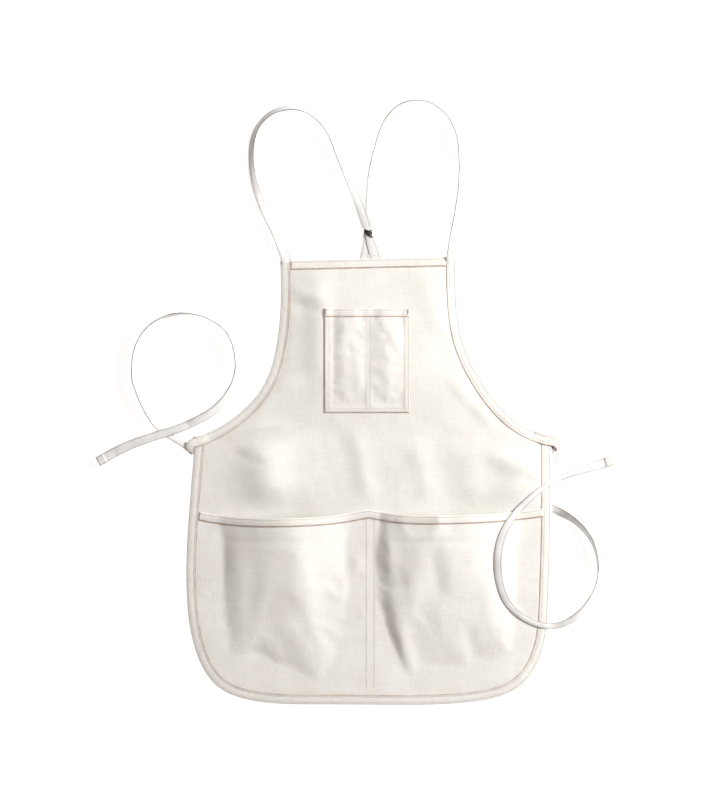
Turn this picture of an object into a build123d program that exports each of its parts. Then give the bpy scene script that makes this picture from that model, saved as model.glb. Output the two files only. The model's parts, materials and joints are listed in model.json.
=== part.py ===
"""Artist smock apron, laid out flat with its front up.

Units are millimetres. +Z is up, +Y points to the top of the bib and +X to the right of somebody who looks at
the front. The origin is under the middle of the cloth body, on the surface that the apron lies on. The straps
and ties are flat tape: they hang from the body and lie loose round it.
"""
from build123d import *
import math
import os

# ---- cloth and tape -------------------------------------------------------------------------------------
CANVAS_T = 0.8  # one layer of canvas
TAPE_PLY = 1.15  # one side of the folded binding tape
BINDING_W = 14.0  # width of the binding that shows on the front
STRAP_W = 14.0
STRAP_T = 0.9
HEM_W = 12.0  # bib hem and pocket hems
HEM_T = 0.6
THREAD_T = 0.3
THREAD_W = 0.8
GAP = 0.05  # air between layers that only lie on each other
PUFF_GAP = 0.15  # air under a layer that is puffed up
FIT = 0.25  # air round a strap where it passes under or through another piece
CHANNEL_DEPTH = 1.0  # a channel under a binding is open to the surface below

# ---- levels, from the surface that the apron lies on ----------------------------------------------------
PANEL_Z = TAPE_PLY + GAP  # underside of the body canvas
PANEL_TOP = PANEL_Z + CANVAS_T
POCKET_Z = PANEL_TOP + PUFF_GAP  # underside of the pocket canvas where it lies flat
POCKET_TOP = POCKET_Z + CANVAS_T
ARMHOLE_TOP = PANEL_TOP + GAP + TAPE_PLY
EDGE_TOP = POCKET_TOP + PUFF_GAP + TAPE_PLY
FLAT_STRAP = 0.05 + STRAP_T / 2  # middle of a strap that lies on the surface

# ---- body outline ---------------------------------------------------------------------------------------
BIB_LEFT = (-129.0, 305.5)
BIB_RIGHT = (116.0, 311.0)
WAIST_LEFT = (-247.5, 60.0)
WAIST_RIGHT = (248.0, 62.0)
ARMHOLE_LEFT = [BIB_LEFT, (-128, 250), (-133, 195), (-150, 136), (-189, 91), WAIST_LEFT]
ARMHOLE_RIGHT = [BIB_RIGHT, (117, 252), (126, 193), (153, 136), (193, 88), WAIST_RIGHT]
SKIRT_LEFT = [WAIST_LEFT, (-252, 0), (-258, -80), (-258.5, -165), (-248, -231), (-216, -286), (-156, -307.5)]
SKIRT_RIGHT = [WAIST_RIGHT, (248, 0), (247.5, -85), (245, -165), (234, -243), (203, -287), (150, -305.5)]
HEM_BOTTOM = [(-156, -307.5), (-70, -311), (60, -311.5), (150, -305.5)]
FOLD_Y = 66.0  # the bib folds down over the skirt along this line
FOLD_GAP = 0.4
FOLD_AXIS_Z = 5.0
PANEL_INSET = 2.0  # the canvas ends this far inside the fold of the binding

# ---- pockets --------------------------------------------------------------------------------------------
DIVIDER = (-9.0, 2.0)  # the two rows of stitching between the lower pockets
MOUTH_LEFT = [(-262, -38), (-200, -50), (-120, -52), (-50, -48), (-6, -40)]
MOUTH_RIGHT = [(-6, -40), (36, -47), (110, -48), (180, -45), (255, -35)]
LOWER_LEFT_SPAN = (-237.0, DIVIDER[0] - 1)
LOWER_RIGHT_SPAN = (DIVIDER[1] + 1, 227.0)
LOWER_GAPE = 20.0  # how far a lower pocket stands open at its mouth
LOWER_MOUTH_Y = -50.0
LOWER_FOOT_Y = -286.0
CHEST = (-68.0, 51.0, 94.0, 239.0)  # left, right, bottom and mouth
PEN_SPAN = (-58.0, -10.0)
CHEST_SPAN = (-3.0, 43.0)
CHEST_GAPE = 10.0
LOWER_EXTENT = (-264.0, 258.0, -314.0, -34.0)
CHEST_EXTENT = (CHEST[0] - 2, CHEST[1] + 2, CHEST[2] - 2, CHEST[3] + 2)
GRID_COLUMNS = 44
GRID_ROWS = 16

# ---- straps and ties: the corners of each route, as x, y and the height of the tape's middle ------------
CROSS_LOW = 1.1  # the right strap, raised by the thread that goes under it
CROSS_HIGH = 2.05  # the left strap, on top of it
LOOP_Z = 0.9  # a strap inside a waist loop
REST = 0.85  # a tie that lies loose and a little tilted
LEFT_NECK = [
    (-122, 310, FLAT_STRAP),
    (-133, 342, FLAT_STRAP),
    (-156, 384, FLAT_STRAP),
    (-170, 432, FLAT_STRAP),
    (-168, 482, FLAT_STRAP),
    (-142, 514, FLAT_STRAP),
    (-101, 520, FLAT_STRAP),
    (-65, 495, FLAT_STRAP),
    (-46, 450, FLAT_STRAP),
    (-26, 402, CROSS_HIGH),
    (-10, 357, CROSS_HIGH),
    (-4, 336, CROSS_HIGH),
]
RIGHT_NECK = [
    (109.5, 312.5, FLAT_STRAP),
    (112, 346, FLAT_STRAP),
    (120, 396, FLAT_STRAP),
    (124, 452, FLAT_STRAP),
    (113, 498, FLAT_STRAP),
    (83, 527, FLAT_STRAP),
    (44, 530, FLAT_STRAP),
    (16, 502, FLAT_STRAP),
    (1, 456, FLAT_STRAP),
    (-5, 410, FLAT_STRAP),
    (-6, 366, CROSS_LOW),
    (-8, 336, CROSS_LOW),
]
LEFT_BACK = [
    (-4, 336, CROSS_HIGH),
    (-0.2, 322.7, CROSS_HIGH),
    (8, 309, FLAT_STRAP),
    (21, 287, FLAT_STRAP),
    (47, 251, FLAT_STRAP),
    (86, 203, FLAT_STRAP),
    (121, 151, FLAT_STRAP),
    (152, 104, FLAT_STRAP),
    (184, 80, FLAT_STRAP),
    (238, 57.5, FLAT_STRAP),
]
RIGHT_BACK = [
    (-8, 336, CROSS_LOW),
    (-9, 321, CROSS_LOW),
    (-15, 306, FLAT_STRAP),
    (-29, 281, FLAT_STRAP),
    (-61, 242, FLAT_STRAP),
    (-93, 193, FLAT_STRAP),
    (-119, 147, FLAT_STRAP),
    (-150, 107, FLAT_STRAP),
    (-180, 82, FLAT_STRAP),
    (-212, 54, FLAT_STRAP),
]
LEFT_TIE = [
    (-188, 75, FLAT_STRAP),
    (-212, 54, FLAT_STRAP),
    (-240, 35.5, FLAT_STRAP),
    (-255, 45.5, LOOP_Z),
    (-271, 54.5, REST),
    (-297, 70, REST),
    (-319, 104, REST),
    (-337, 147, REST),
    (-326, 201, REST),
    (-287, 232, REST),
    (-238, 232, REST),
    (-196, 205, REST),
    (-186, 153, REST),
    (-208, 104, REST),
    (-256, 76, 2.4),
    (-312, 59, 2.4),
    (-350, 45, REST),
    (-382, 26, REST),
]
RIGHT_TIE = [
    (208, 70, FLAT_STRAP),
    (238, 57.5, FLAT_STRAP),
    (256, 54, LOOP_Z),
    (254.5, 36, LOOP_Z),
    (241, 18, FLAT_STRAP),
    (222, -2, FLAT_STRAP),
    (223, -27, FLAT_STRAP),
    (248, -38, FLAT_STRAP),
    (281, -54, REST),
    (308, -86, REST),
    (315, -135, REST),
    (293, -182, REST),
    (259, -204, 6.8),
    (221, -199, 7.4),
    (184, -172, 16.0),
    (171, -123, 20.0),
    (177, -75, 21.0),
    (202, -39, 16.5),
    (236, -9, 8.5),
    (262, 5, 7.5),
    (292, 16, 4.5),
    (334, 28, 2.4),
]

# ---- waist loops: middle of the strap in the loop, and the way that the strap runs there ----------------
LOOP_W = 9.0
LOOP_REACH = 8.6
LOOP_TOP = 2.6
LEFT_LOOP = ((-255.0, 45.5), (-16.0, 9.5))
RIGHT_LOOP = ((255.3, 45.0), (-1.5, -18.0))
CAP_LENGTH = 26.0  # the end of the armhole tape that each loop is made from, from the fold line down


# ---- helpers --------------------------------------------------------------------------------------------
def slab(face, low, high):
    """The face as a plate between two heights."""
    return extrude(Pos(0, 0, low) * face, amount=high - low, dir=(0, 0, 1))


def rectangle(x0, x1, y0, y1):
    """An axis-aligned rectangle between two corners."""
    return Pos((x0 + x1) / 2, (y0 + y1) / 2) * Rectangle(x1 - x0, y1 - y0)


def body_outline():
    """The finished edge of the cloth body, one closed face."""
    edges = [
        Line(BIB_LEFT, BIB_RIGHT),
        Spline(*ARMHOLE_RIGHT),
        Spline(*SKIRT_RIGHT, *reversed(HEM_BOTTOM[1:-1]), *reversed(SKIRT_LEFT)),
        Spline(*reversed(ARMHOLE_LEFT)),
    ]
    return make_face(Wire(edges))


def fillet_radii(points):
    """As large a radius at each corner of a route as its two runs allow."""
    radii = []
    for before, corner, after in zip(points, points[1:], points[2:]):
        one = Vector(corner) - Vector(before)
        two = Vector(after) - Vector(corner)
        half_turn = math.radians(one.get_angle(two)) / 2
        radii.append(0.45 * min(one.length, two.length) / math.tan(half_turn))
    return radii


def tape(points, width=STRAP_W, thickness=STRAP_T):
    """A flat tape that lies along a route, its width level."""
    path = FilletPolyline(*points, radius=fillet_radii(points))
    start = Plane(origin=path @ 0, x_dir=Vector(0, 0, 1).cross(path % 0), z_dir=path % 0)
    return sweep(start * Rectangle(width, thickness), path=path), path


def largest(shape):
    """The biggest solid of a shape, without the scraps that a channel cuts off it."""
    return max(shape.solids(), key=lambda solid: solid.volume)


def ridge(value, span):
    """0 at both ends of a span and 1 in the middle, level at the ends."""
    share = (value - span[0]) / (span[1] - span[0])
    if not 0 < share < 1:
        return 0.0
    return math.sin(math.pi * share) ** 1.7


def depth_share(y, mouth, foot):
    """1 at a pocket's mouth and 0 at its foot."""
    share = min(max((mouth - y) / (mouth - foot), 0.0), 1.0)
    return math.cos(math.pi / 2 * share) ** 1.2


def lower_bulge(x, y):
    """How far the lower pocket panel stands off the skirt."""
    across = ridge(x, LOWER_LEFT_SPAN) + ridge(x, LOWER_RIGHT_SPAN)
    return LOWER_GAPE * across * depth_share(y, LOWER_MOUTH_Y, LOWER_FOOT_Y)


def chest_bulge(x, y):
    """How far the chest pocket stands off the bib."""
    across = ridge(x, PEN_SPAN) + ridge(x, CHEST_SPAN)
    return CHEST_GAPE * across * depth_share(y, CHEST[3], CHEST[2] + 6)


def puffed(bulge, extent, region, level, thickness):
    """A layer of cloth over a region, pushed up by a bulge that is drawn on a grid over the whole pocket."""
    x0, x1, y0, y1 = extent
    xs = [x0 + (x1 - x0) * column / GRID_COLUMNS for column in range(GRID_COLUMNS + 1)]
    ys = [y0 + (y1 - y0) * row / GRID_ROWS for row in range(GRID_ROWS + 1)]
    grid = [[Vector(x, y, level + bulge(x, y)) for y in ys] for x in xs]
    skin = Face.make_surface_from_array_of_points(grid)
    return extrude(skin, amount=thickness, dir=(0, 0, 1)) & slab(region, -1, 60)


def inset(depth):
    """The body's outline moved in by a depth, with each of its curves drawn again as a plain spline."""
    moved = offset(outline, amount=-depth).face().outer_wire()
    edges = []
    for edge in moved.edges():
        steps = max(2, round(edge.length / 12))
        if edge.geom_type == GeomType.LINE:
            edges.append(Line(edge @ 0, edge @ 1))
        else:
            edges.append(Spline(*[edge @ (step / steps) for step in range(steps + 1)]))
    return make_face(Wire(edges))


# ---- regions --------------------------------------------------------------------------------------------
FAR = 400
outline = body_outline()
inside = inset(BINDING_W)
canvas = inset(PANEL_INSET)
below_fold = rectangle(-FAR, FAR, -FAR, FOLD_Y - FOLD_GAP / 2)
above_fold = rectangle(-FAR, FAR, FOLD_Y + FOLD_GAP / 2, FAR)
left_half = rectangle(-FAR, 0, -FAR, FAR)
right_half = rectangle(0, FAR, -FAR, FAR)
binding_band = outline - inside
corner_band = rectangle(-FAR, FAR, FOLD_Y - CAP_LENGTH, FOLD_Y - FOLD_GAP / 2)


def hem_strip(near, far):
    """The strip along the top of the bib between two depths below its edge."""
    corners = [
        (BIB_LEFT[0] - 30, BIB_LEFT[1] - near - 0.7),
        (BIB_RIGHT[0] + 30, BIB_RIGHT[1] - near + 0.7),
        (BIB_RIGHT[0] + 30, BIB_RIGHT[1] - far + 0.7),
        (BIB_LEFT[0] - 30, BIB_LEFT[1] - far - 0.7),
    ]
    return make_face(Polyline(*corners, close=True))


def below_mouth(depth):
    """Everything under the mouths of the lower pockets, from a depth below their edge."""
    left = [(x, y - depth) for x, y in MOUTH_LEFT]
    right = [(x, y - depth) for x, y in MOUTH_RIGHT]
    sides = Polyline(right[-1], (FAR, right[-1][1]), (FAR, -FAR), (-FAR, -FAR), (-FAR, left[0][1]), left[0])
    return make_face(Wire([Spline(*left), Spline(*right), *sides.edges()]))


parts = {}

# ---- tapes first, because other pieces leave room for them ----------------------------------------------
ROUTES = {
    "left_neck_strap": LEFT_NECK,
    "right_neck_strap": RIGHT_NECK,
    "left_back_strap": LEFT_BACK,
    "right_back_strap": RIGHT_BACK,
    "left_waist_tie": LEFT_TIE,
    "right_waist_tie": RIGHT_TIE,
}
BEYOND_FOLD = {
    "left_back_strap": rectangle(190, 260, 20, FOLD_Y + FOLD_GAP / 2),
    "right_back_strap": rectangle(-260, -175, 20, FOLD_Y + FOLD_GAP / 2),
    "left_waist_tie": rectangle(-225, -170, FOLD_Y - FOLD_GAP / 2, 90),
    "right_waist_tie": rectangle(190, 250, FOLD_Y - FOLD_GAP / 2, 90),
}
paths = {}
room = {}
channel = {}
for name, points in ROUTES.items():
    radii = fillet_radii(points)
    parts[name], paths[name] = tape(points)
    room[name], _ = tape(points, STRAP_W + 2 * FIT, STRAP_T + 2 * FIT)
    lowered = [(x, y, z - CHANNEL_DEPTH / 2) for x, y, z in points]
    channel[name], _ = tape(lowered, STRAP_W + 2 * FIT, STRAP_T + 2 * FIT + CHANNEL_DEPTH)
    ratio = parts[name].volume / (STRAP_W * STRAP_T * paths[name].length)
    print(f"{name}: length {paths[name].length:.0f} mm, volume over section times length {ratio:.3f}")
    print("  radii", [round(radius) for radius in radii])
    if name in BEYOND_FOLD:
        parts[name] = parts[name] - slab(BEYOND_FOLD[name], -1, 60)


def tie_end(name):
    """The end of a tie, folded back over itself and sewn down."""
    path = paths[name]
    tip = path @ 1
    along = path % 1
    end_face = parts[name].faces().sort_by_distance(tip)[0]
    across = end_face.edges().sort_by(Edge.length)[-1] % 0
    place = Plane(origin=tip, x_dir=along, z_dir=along.cross(across))
    if place.z_dir.Z < 0:
        place = Plane(origin=tip, x_dir=along, z_dir=across.cross(along))
    lift = STRAP_T / 2 + GAP + HEM_T / 2
    return place * Pos(-HEM_W / 2 - 0.5, 0, lift) * Box(HEM_W, STRAP_W - 0.4, HEM_T)


# ---- body canvas ----------------------------------------------------------------------------------------
parts["skirt_panel"] = slab(canvas & below_fold, PANEL_Z, PANEL_TOP)
parts["bib_panel"] = slab(canvas & above_fold, PANEL_Z, PANEL_TOP)

# ---- binding and hems -----------------------------------------------------------------------------------
canvas_slot = inset(PANEL_INSET - FIT)
one_layer = slab(canvas_slot, PANEL_Z - GAP, PANEL_TOP + GAP)
two_layers = slab(canvas_slot, PANEL_Z - GAP, POCKET_TOP + PUFF_GAP)
hem_ends = (BIB_LEFT[0] + BINDING_W + 0.4, BIB_RIGHT[0] - BINDING_W - 0.4)
hem_span = rectangle(*hem_ends, 250, FAR)
bib_band = (binding_band & above_fold) - rectangle(hem_ends[0] - 0.3, hem_ends[1] + 0.3, 250, FAR)
left_band = slab(bib_band & left_half, 0, ARMHOLE_TOP)
right_band = slab(bib_band & right_half, 0, ARMHOLE_TOP)
parts["left_armhole_binding"] = largest(left_band - one_layer - channel["right_back_strap"])
parts["right_armhole_binding"] = largest(right_band - one_layer - channel["left_back_strap"])
top_hem = slab(hem_strip(0, HEM_W) & outline & hem_span, GAP, PANEL_TOP + GAP + HEM_T)
parts["bib_top_hem"] = largest(top_hem - one_layer - channel["left_back_strap"] - channel["right_back_strap"])
skirt_band = (binding_band & below_fold) - corner_band
edge_channel = slab(skirt_band, 0, EDGE_TOP) - two_layers
under_right_tie = channel["right_waist_tie"] & slab(rectangle(210, FAR, -60, FOLD_Y), -2, 1.5)
parts["edge_binding"] = largest(edge_channel - channel["left_waist_tie"] - room["right_waist_tie"] - under_right_tie)


def waist_loop(place, side, tie):
    """The end of the armhole tape: a cap over the waist corner, and the loop that it makes round the strap."""
    (x, y), (run_x, run_y) = place
    cap = slab(binding_band & corner_band & side, 0, ARMHOLE_TOP) - channel[tie]
    turn = math.degrees(math.atan2(run_y, run_x))
    loop = Pos(x, y, LOOP_TOP / 2) * Rot(0, 0, turn) * Box(LOOP_W, 2 * LOOP_REACH, LOOP_TOP)
    kept = slab(corner_band, -1, 60)
    return largest(((cap + loop) & kept) - one_layer - room[tie])


parts["left_waist_loop"] = waist_loop(LEFT_LOOP, left_half, "left_waist_tie")
parts["right_waist_loop"] = waist_loop(RIGHT_LOOP, right_half, "right_waist_tie")

# ---- lower pockets --------------------------------------------------------------------------------------
lower_region = canvas & below_mouth(0)
parts["lower_pocket_panel"] = puffed(lower_bulge, LOWER_EXTENT, lower_region, POCKET_Z, CANVAS_T)
mouth_strip = (below_mouth(0) - below_mouth(HEM_W)) & inset(BINDING_W + 0.3)
parts["lower_pocket_hem"] = puffed(lower_bulge, LOWER_EXTENT, mouth_strip, POCKET_TOP + GAP, HEM_T)

# ---- chest pocket ---------------------------------------------------------------------------------------
parts["chest_pocket"] = puffed(chest_bulge, CHEST_EXTENT, rectangle(*CHEST), POCKET_Z, CANVAS_T)
chest_strip = rectangle(CHEST[0], CHEST[1], CHEST[3] - HEM_W, CHEST[3])
parts["chest_pocket_hem"] = puffed(chest_bulge, CHEST_EXTENT, chest_strip, POCKET_TOP + GAP, HEM_T)

# ---- what holds the straps ------------------------------------------------------------------------------
WRAP_Y = (341.6, 345.4)
WRAP_X = (-17.0, 3.5)
WRAP_TOP = 3.3
WRAP_THREAD = 2.2
wrap = Part()
for y in WRAP_Y:
    turn = Box(WRAP_X[1] - WRAP_X[0], WRAP_THREAD, WRAP_TOP)
    wrap += Pos(sum(WRAP_X) / 2, y, WRAP_TOP / 2) * turn
wrap += Pos(-4, sum(WRAP_Y) / 2, WRAP_TOP) * Box(5, WRAP_Y[1] - WRAP_Y[0] + WRAP_THREAD, 1.6)
wrap += Pos(0.5, WRAP_Y[1] + 3, WRAP_TOP) * Rot(0, 0, 55) * Box(9, 1.6, 1.6)
wrap = wrap - room["left_neck_strap"] - room["right_neck_strap"]
parts["crossing_wrap"] = wrap
parts["left_tie_end"] = tie_end("left_waist_tie")
parts["right_tie_end"] = tie_end("right_waist_tie")

# ---- stitching ------------------------------------------------------------------------------------------
ROWS = (2.6, BINDING_W - 2.2)  # the two rows of stitching, in from the edge of the binding


def rows_along_edge(depths):
    """Rows of thread that follow the body's edge, as one flat region."""
    region = None
    for depth in depths:
        row = inset(depth) - inset(depth + THREAD_W)
        region = row if region is None else region + row
    return region


def thread(region, level):
    """Thread that lies on a level surface."""
    return slab(region, level, level + THREAD_T)


edge_rows = rows_along_edge(ROWS)
bib_rows = (edge_rows & above_fold) - rectangle(hem_ends[0] - 0.5, hem_ends[1] + 0.5, 250, FAR)
parts["left_armhole_stitching"] = thread(bib_rows & left_half, ARMHOLE_TOP)
parts["right_armhole_stitching"] = thread(bib_rows & right_half, ARMHOLE_TOP)
parts["edge_stitching"] = thread((edge_rows & below_fold) - corner_band, EDGE_TOP)
hem_row = hem_strip(HEM_W - 1.8, HEM_W - 1.8 + THREAD_W) & hem_span
parts["bib_hem_stitching"] = thread(hem_row, PANEL_TOP + GAP + HEM_T)


def upright_row(x, low, high):
    """A row of stitching along Y."""
    return rectangle(x - THREAD_W / 2, x + THREAD_W / 2, low, high)


foot = CHEST[2] + 1.5
top = CHEST[3] - HEM_W - 1
chest_rows = rectangle(CHEST[0] + 1.2, CHEST[1] - 1.2, foot, foot + THREAD_W)
for x in (CHEST[0] + 1.6, CHEST[0] + 7.6, PEN_SPAN[1] + 0.8, CHEST_SPAN[0] - 0.8, CHEST[1] - 7, CHEST[1] - 1.6):
    chest_rows += upright_row(x, foot, top)
parts["chest_pocket_stitching"] = thread(chest_rows, POCKET_TOP + GAP)
divider_rows = upright_row(DIVIDER[0], LOWER_FOOT_Y - 4, -58) + upright_row(DIVIDER[1], LOWER_FOOT_Y - 4, -60)
parts["pocket_divider_stitching"] = thread(divider_rows, POCKET_TOP + PUFF_GAP)
hem_foot = below_mouth(HEM_W - 1.8) - below_mouth(HEM_W - 1.8 + THREAD_W)
hem_thread = hem_foot & inset(BINDING_W + 0.4)
hem_thread_z = POCKET_TOP + GAP + HEM_T + GAP
parts["pocket_hem_stitching"] = puffed(lower_bulge, LOWER_EXTENT, hem_thread, hem_thread_z, THREAD_T)
chest_hem_row = rectangle(CHEST[0] + 1, CHEST[1] - 1, CHEST[3] - HEM_W + 1, CHEST[3] - HEM_W + 1 + THREAD_W)
parts["chest_hem_stitching"] = puffed(chest_bulge, CHEST_EXTENT, chest_hem_row, hem_thread_z, THREAD_T)
TACK = (2.2, 7.0)
tacks = rectangle(CHEST[0] + 0.6, CHEST[0] + 0.6 + TACK[0], CHEST[3] - TACK[1] - 1, CHEST[3] - 1)
tacks += rectangle(CHEST[1] - 0.6 - TACK[0], CHEST[1] - 0.6, CHEST[3] - TACK[1] - 1, CHEST[3] - 1)
TACK_Z = POCKET_TOP + HEM_T + PUFF_GAP
parts["bar_tacks"] = slab(tacks, TACK_Z, TACK_Z + 0.6)

# ---- write one file per piece ---------------------------------------------------------------------------
os.makedirs("parts", exist_ok=True)
for name, solid in parts.items():
    solid.label = name
    export_step(solid, f"parts/{name}.step")
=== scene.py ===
"""Looks of the artist smock apron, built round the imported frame.

Lengths are metres. Everything that is sewn to the body is first laid out in flat layers, one on another, and
then raised by one soft surface, `rise`, so that the layers stay in order. Straps and ties are flat tape that
follows NURBS routes.
"""
import json
import math

import bpy
import numpy as np
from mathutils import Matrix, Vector, noise
from mathutils.bvhtree import BVHTree


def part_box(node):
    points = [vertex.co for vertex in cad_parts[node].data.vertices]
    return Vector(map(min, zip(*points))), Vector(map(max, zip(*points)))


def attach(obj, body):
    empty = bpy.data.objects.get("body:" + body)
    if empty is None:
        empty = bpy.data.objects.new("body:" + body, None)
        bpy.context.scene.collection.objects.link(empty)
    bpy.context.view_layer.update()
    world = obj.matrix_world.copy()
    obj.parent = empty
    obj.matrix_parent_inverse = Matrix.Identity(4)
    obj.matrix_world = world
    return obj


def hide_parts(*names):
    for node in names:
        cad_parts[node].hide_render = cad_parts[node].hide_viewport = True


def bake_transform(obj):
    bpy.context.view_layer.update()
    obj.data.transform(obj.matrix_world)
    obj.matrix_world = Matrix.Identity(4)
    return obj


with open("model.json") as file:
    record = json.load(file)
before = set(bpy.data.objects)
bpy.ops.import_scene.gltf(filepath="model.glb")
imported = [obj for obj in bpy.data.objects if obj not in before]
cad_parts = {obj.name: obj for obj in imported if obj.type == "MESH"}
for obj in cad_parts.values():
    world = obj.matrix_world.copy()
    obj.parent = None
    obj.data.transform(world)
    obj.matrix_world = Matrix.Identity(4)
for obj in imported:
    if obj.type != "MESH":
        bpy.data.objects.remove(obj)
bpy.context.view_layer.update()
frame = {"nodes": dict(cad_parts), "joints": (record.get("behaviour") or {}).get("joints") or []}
NODES = frame["nodes"]

# ---- camera ---------------------------------------------------------------------------------------------
VIEW_CENTRE = (-0.0243, 0.1119)
VIEW_HEIGHT = 1.112
CAMERA_DISTANCE = 4.5
SENSOR = 36.0


def make_camera():
    """A long lens that looks straight down on the laid-out apron."""
    data = bpy.data.cameras.new("camera")
    camera = bpy.data.objects.new("camera", data)
    bpy.context.scene.collection.objects.link(camera)
    camera.location = (*VIEW_CENTRE, CAMERA_DISTANCE)
    data.sensor_width = SENSOR
    data.lens = SENSOR * CAMERA_DISTANCE / VIEW_HEIGHT
    data.clip_end = 50
    bpy.context.scene.camera = camera


make_camera()

# ---- thicknesses and levels, from the frame -------------------------------------------------------------
CANVAS_LOW, CANVAS_TOP = (corner.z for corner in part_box("bib_panel"))
CANVAS_T = CANVAS_TOP - CANVAS_LOW
POCKET_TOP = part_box("chest_pocket")[0].z + CANVAS_T
FOLD_Y = frame["joints"][0]["pos_m"][1]
PANEL_INSET = 0.002  # the frame's canvas ends this far inside the finished edge
BINDING_W = 0.014
PLY = 0.00055
HEM_W = 0.012
BIB_HEM_W = 0.0135
STRAP_W = 0.014
STRAP_T = 0.0013
CELL = 0.0045  # size of a cloth mesh's cells
NUDGE = 1e-4
GRID_HALF = (0.2655, 0.3150)  # half of the field, across and along, that the body's cells are cut from
GRID_X = np.arange(-GRID_HALF[0], GRID_HALF[0] + NUDGE, CELL)
GRID_Y = np.arange(-GRID_HALF[1], GRID_HALF[1] + NUDGE, CELL)


# ---- small geometry helpers -----------------------------------------------------------------------------
def upper_rim(node):
    """The outline of a node's upward faces, as points in order round it, anticlockwise from above."""
    mesh = NODES[node].data
    edges = set()
    for face in mesh.polygons:
        if face.normal.z < 0.5:
            continue
        corners = [tuple(round(c, 5) for c in mesh.vertices[i].co.xy) for i in face.vertices]
        edges.update(zip(corners, corners[1:] + corners[:1]))
    following = {}
    for a, b in edges:
        if (b, a) not in edges and a != b:
            following.setdefault(a, []).append(b)
    longest = []
    while following:
        loop = [min(following)]
        while loop[-1] in following:
            last = loop[-1]
            ahead = max(following[last], key=lambda p: math.dist(p, loop[max(len(loop) - 2, 0)]))
            following[last].remove(ahead)
            if not following[last]:
                del following[last]
            loop.append(ahead)
        if len(loop) > len(longest):
            longest = loop
    return np.array(longest[:-1])


def resample(line, step):
    """Points at even spacing along a line, its ends kept."""
    line = np.asarray(line, float)
    along = distances(line)
    count = max(3, int(round(along[-1] / step)) + 1)
    wanted = np.linspace(0, along[-1], count)
    return np.stack([np.interp(wanted, along, values) for values in line.T], axis=1)


def soften(line, passes):
    """The line with each inner point moved towards its neighbours' middle."""
    line = line.copy()
    for _ in range(passes):
        line[1:-1] = 0.5 * line[1:-1] + 0.25 * (line[:-2] + line[2:])
    return line


def left_of(line):
    """Unit vectors to the left of a flat line's direction."""
    along = np.gradient(line, axis=0)
    along /= np.linalg.norm(along, axis=1)[:, None]
    return np.stack([-along[:, 1], along[:, 0]], axis=1)


def distances(line):
    """Distance from the start, at each point."""
    return np.r_[0, np.cumsum(np.linalg.norm(np.diff(line, axis=0), axis=1))]


def smoothstep(value, low, high):
    """0 below low, 1 above high and smooth between."""
    share = min(max((value - low) / (high - low), 0.0), 1.0)
    return share * share * (3 - 2 * share)


def lengthened(line, reach):
    """A line with its first and last runs drawn out."""
    first = line[0] - line[1]
    last = line[-1] - line[-2]
    start = line[0] + first / np.linalg.norm(first) * reach
    end = line[-1] + last / np.linalg.norm(last) * reach
    return np.vstack([start, line[1:-1], end])


def trimmed(line, start, end):
    """A line without its first and last stretches."""
    along = distances(line)
    return line[(along > start) & (along < along[-1] - end)]


def skin(rings, sides, flipped=False):
    """Faces of a tube through rings of points, with a face at each end."""
    faces = []
    for ring in range(rings - 1):
        a, b = ring * sides, (ring + 1) * sides
        for k in range(sides):
            n = (k + 1) % sides
            faces.append((a + k, b + k, b + n, a + n) if flipped else (a + k, a + n, b + n, b + k))
    last = (rings - 1) * sides
    first_end, last_end = tuple(range(sides)), tuple(range(last, last + sides))
    faces.append(first_end if flipped else first_end[::-1])
    faces.append(last_end[::-1] if flipped else last_end)
    return faces


def joined(parts):
    """Several (points, faces) as one."""
    points, faces = [], []
    for some_points, some_faces in parts:
        base = len(points)
        points.extend(some_points)
        faces.extend(tuple(base + i for i in face) for face in some_faces)
    return points, faces


# ---- the finished edge ----------------------------------------------------------------------------------
EDGE_STEP = 0.0018
FOLD_MARGIN = 0.0004  # points this near the fold line belong to the cut between the panels
UPPER_FROM = 0.28  # the bib's top corners are above this
WAIST_RANGE = (0.03, 0.08)  # and the waist's corners are in here


def finished_edges():
    """The body's edge in four lines, all anticlockwise: right armhole, bib top, left armhole and skirt."""
    def opened(loop, kept):
        """The loop's points that are kept, started at the first one after the gap."""
        first = next(i for i in range(len(loop)) if kept[i] and not kept[i - 1])
        return np.roll(loop, -first, axis=0)[np.roll(kept, -first)]

    skirt = upper_rim("skirt_panel")
    bib = upper_rim("bib_panel")
    skirt = opened(skirt, skirt[:, 1] < FOLD_Y - FOLD_MARGIN)
    bib = opened(bib, bib[:, 1] > FOLD_Y + FOLD_MARGIN)
    whole = np.vstack([bib, skirt])
    upper = [i for i, p in enumerate(whole) if p[1] > UPPER_FROM]
    waist = [i for i, p in enumerate(whole) if WAIST_RANGE[0] < p[1] < WAIST_RANGE[1]]
    bib_right = max(upper, key=lambda i: whole[i][1] + 0.3 * whole[i][0])
    bib_left = max(upper, key=lambda i: whole[i][1] - 0.3 * whole[i][0])
    waist_left = max(waist, key=lambda i: 0.8 * whole[i][1] - whole[i][0])
    waist_right = max(waist, key=lambda i: 0.8 * whole[i][1] + whole[i][0])
    order = [waist_right, bib_right, bib_left, waist_left, waist_right]
    lines = []
    for a, b in zip(order, order[1:]):
        points = whole[a : b + 1] if a < b else np.vstack([whole[a:], whole[: b + 1]])
        line = soften(resample(points, EDGE_STEP), 6)
        line = line - left_of(line) * PANEL_INSET
        lines.append(lengthened(line, PANEL_INSET))
    return dict(zip(("armhole_right", "bib_top", "armhole_left", "skirt"), lines))


EDGES = finished_edges()
OUTLINE = np.vstack([EDGES[name] for name in ("armhole_right", "bib_top", "armhole_left", "skirt")])


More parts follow.
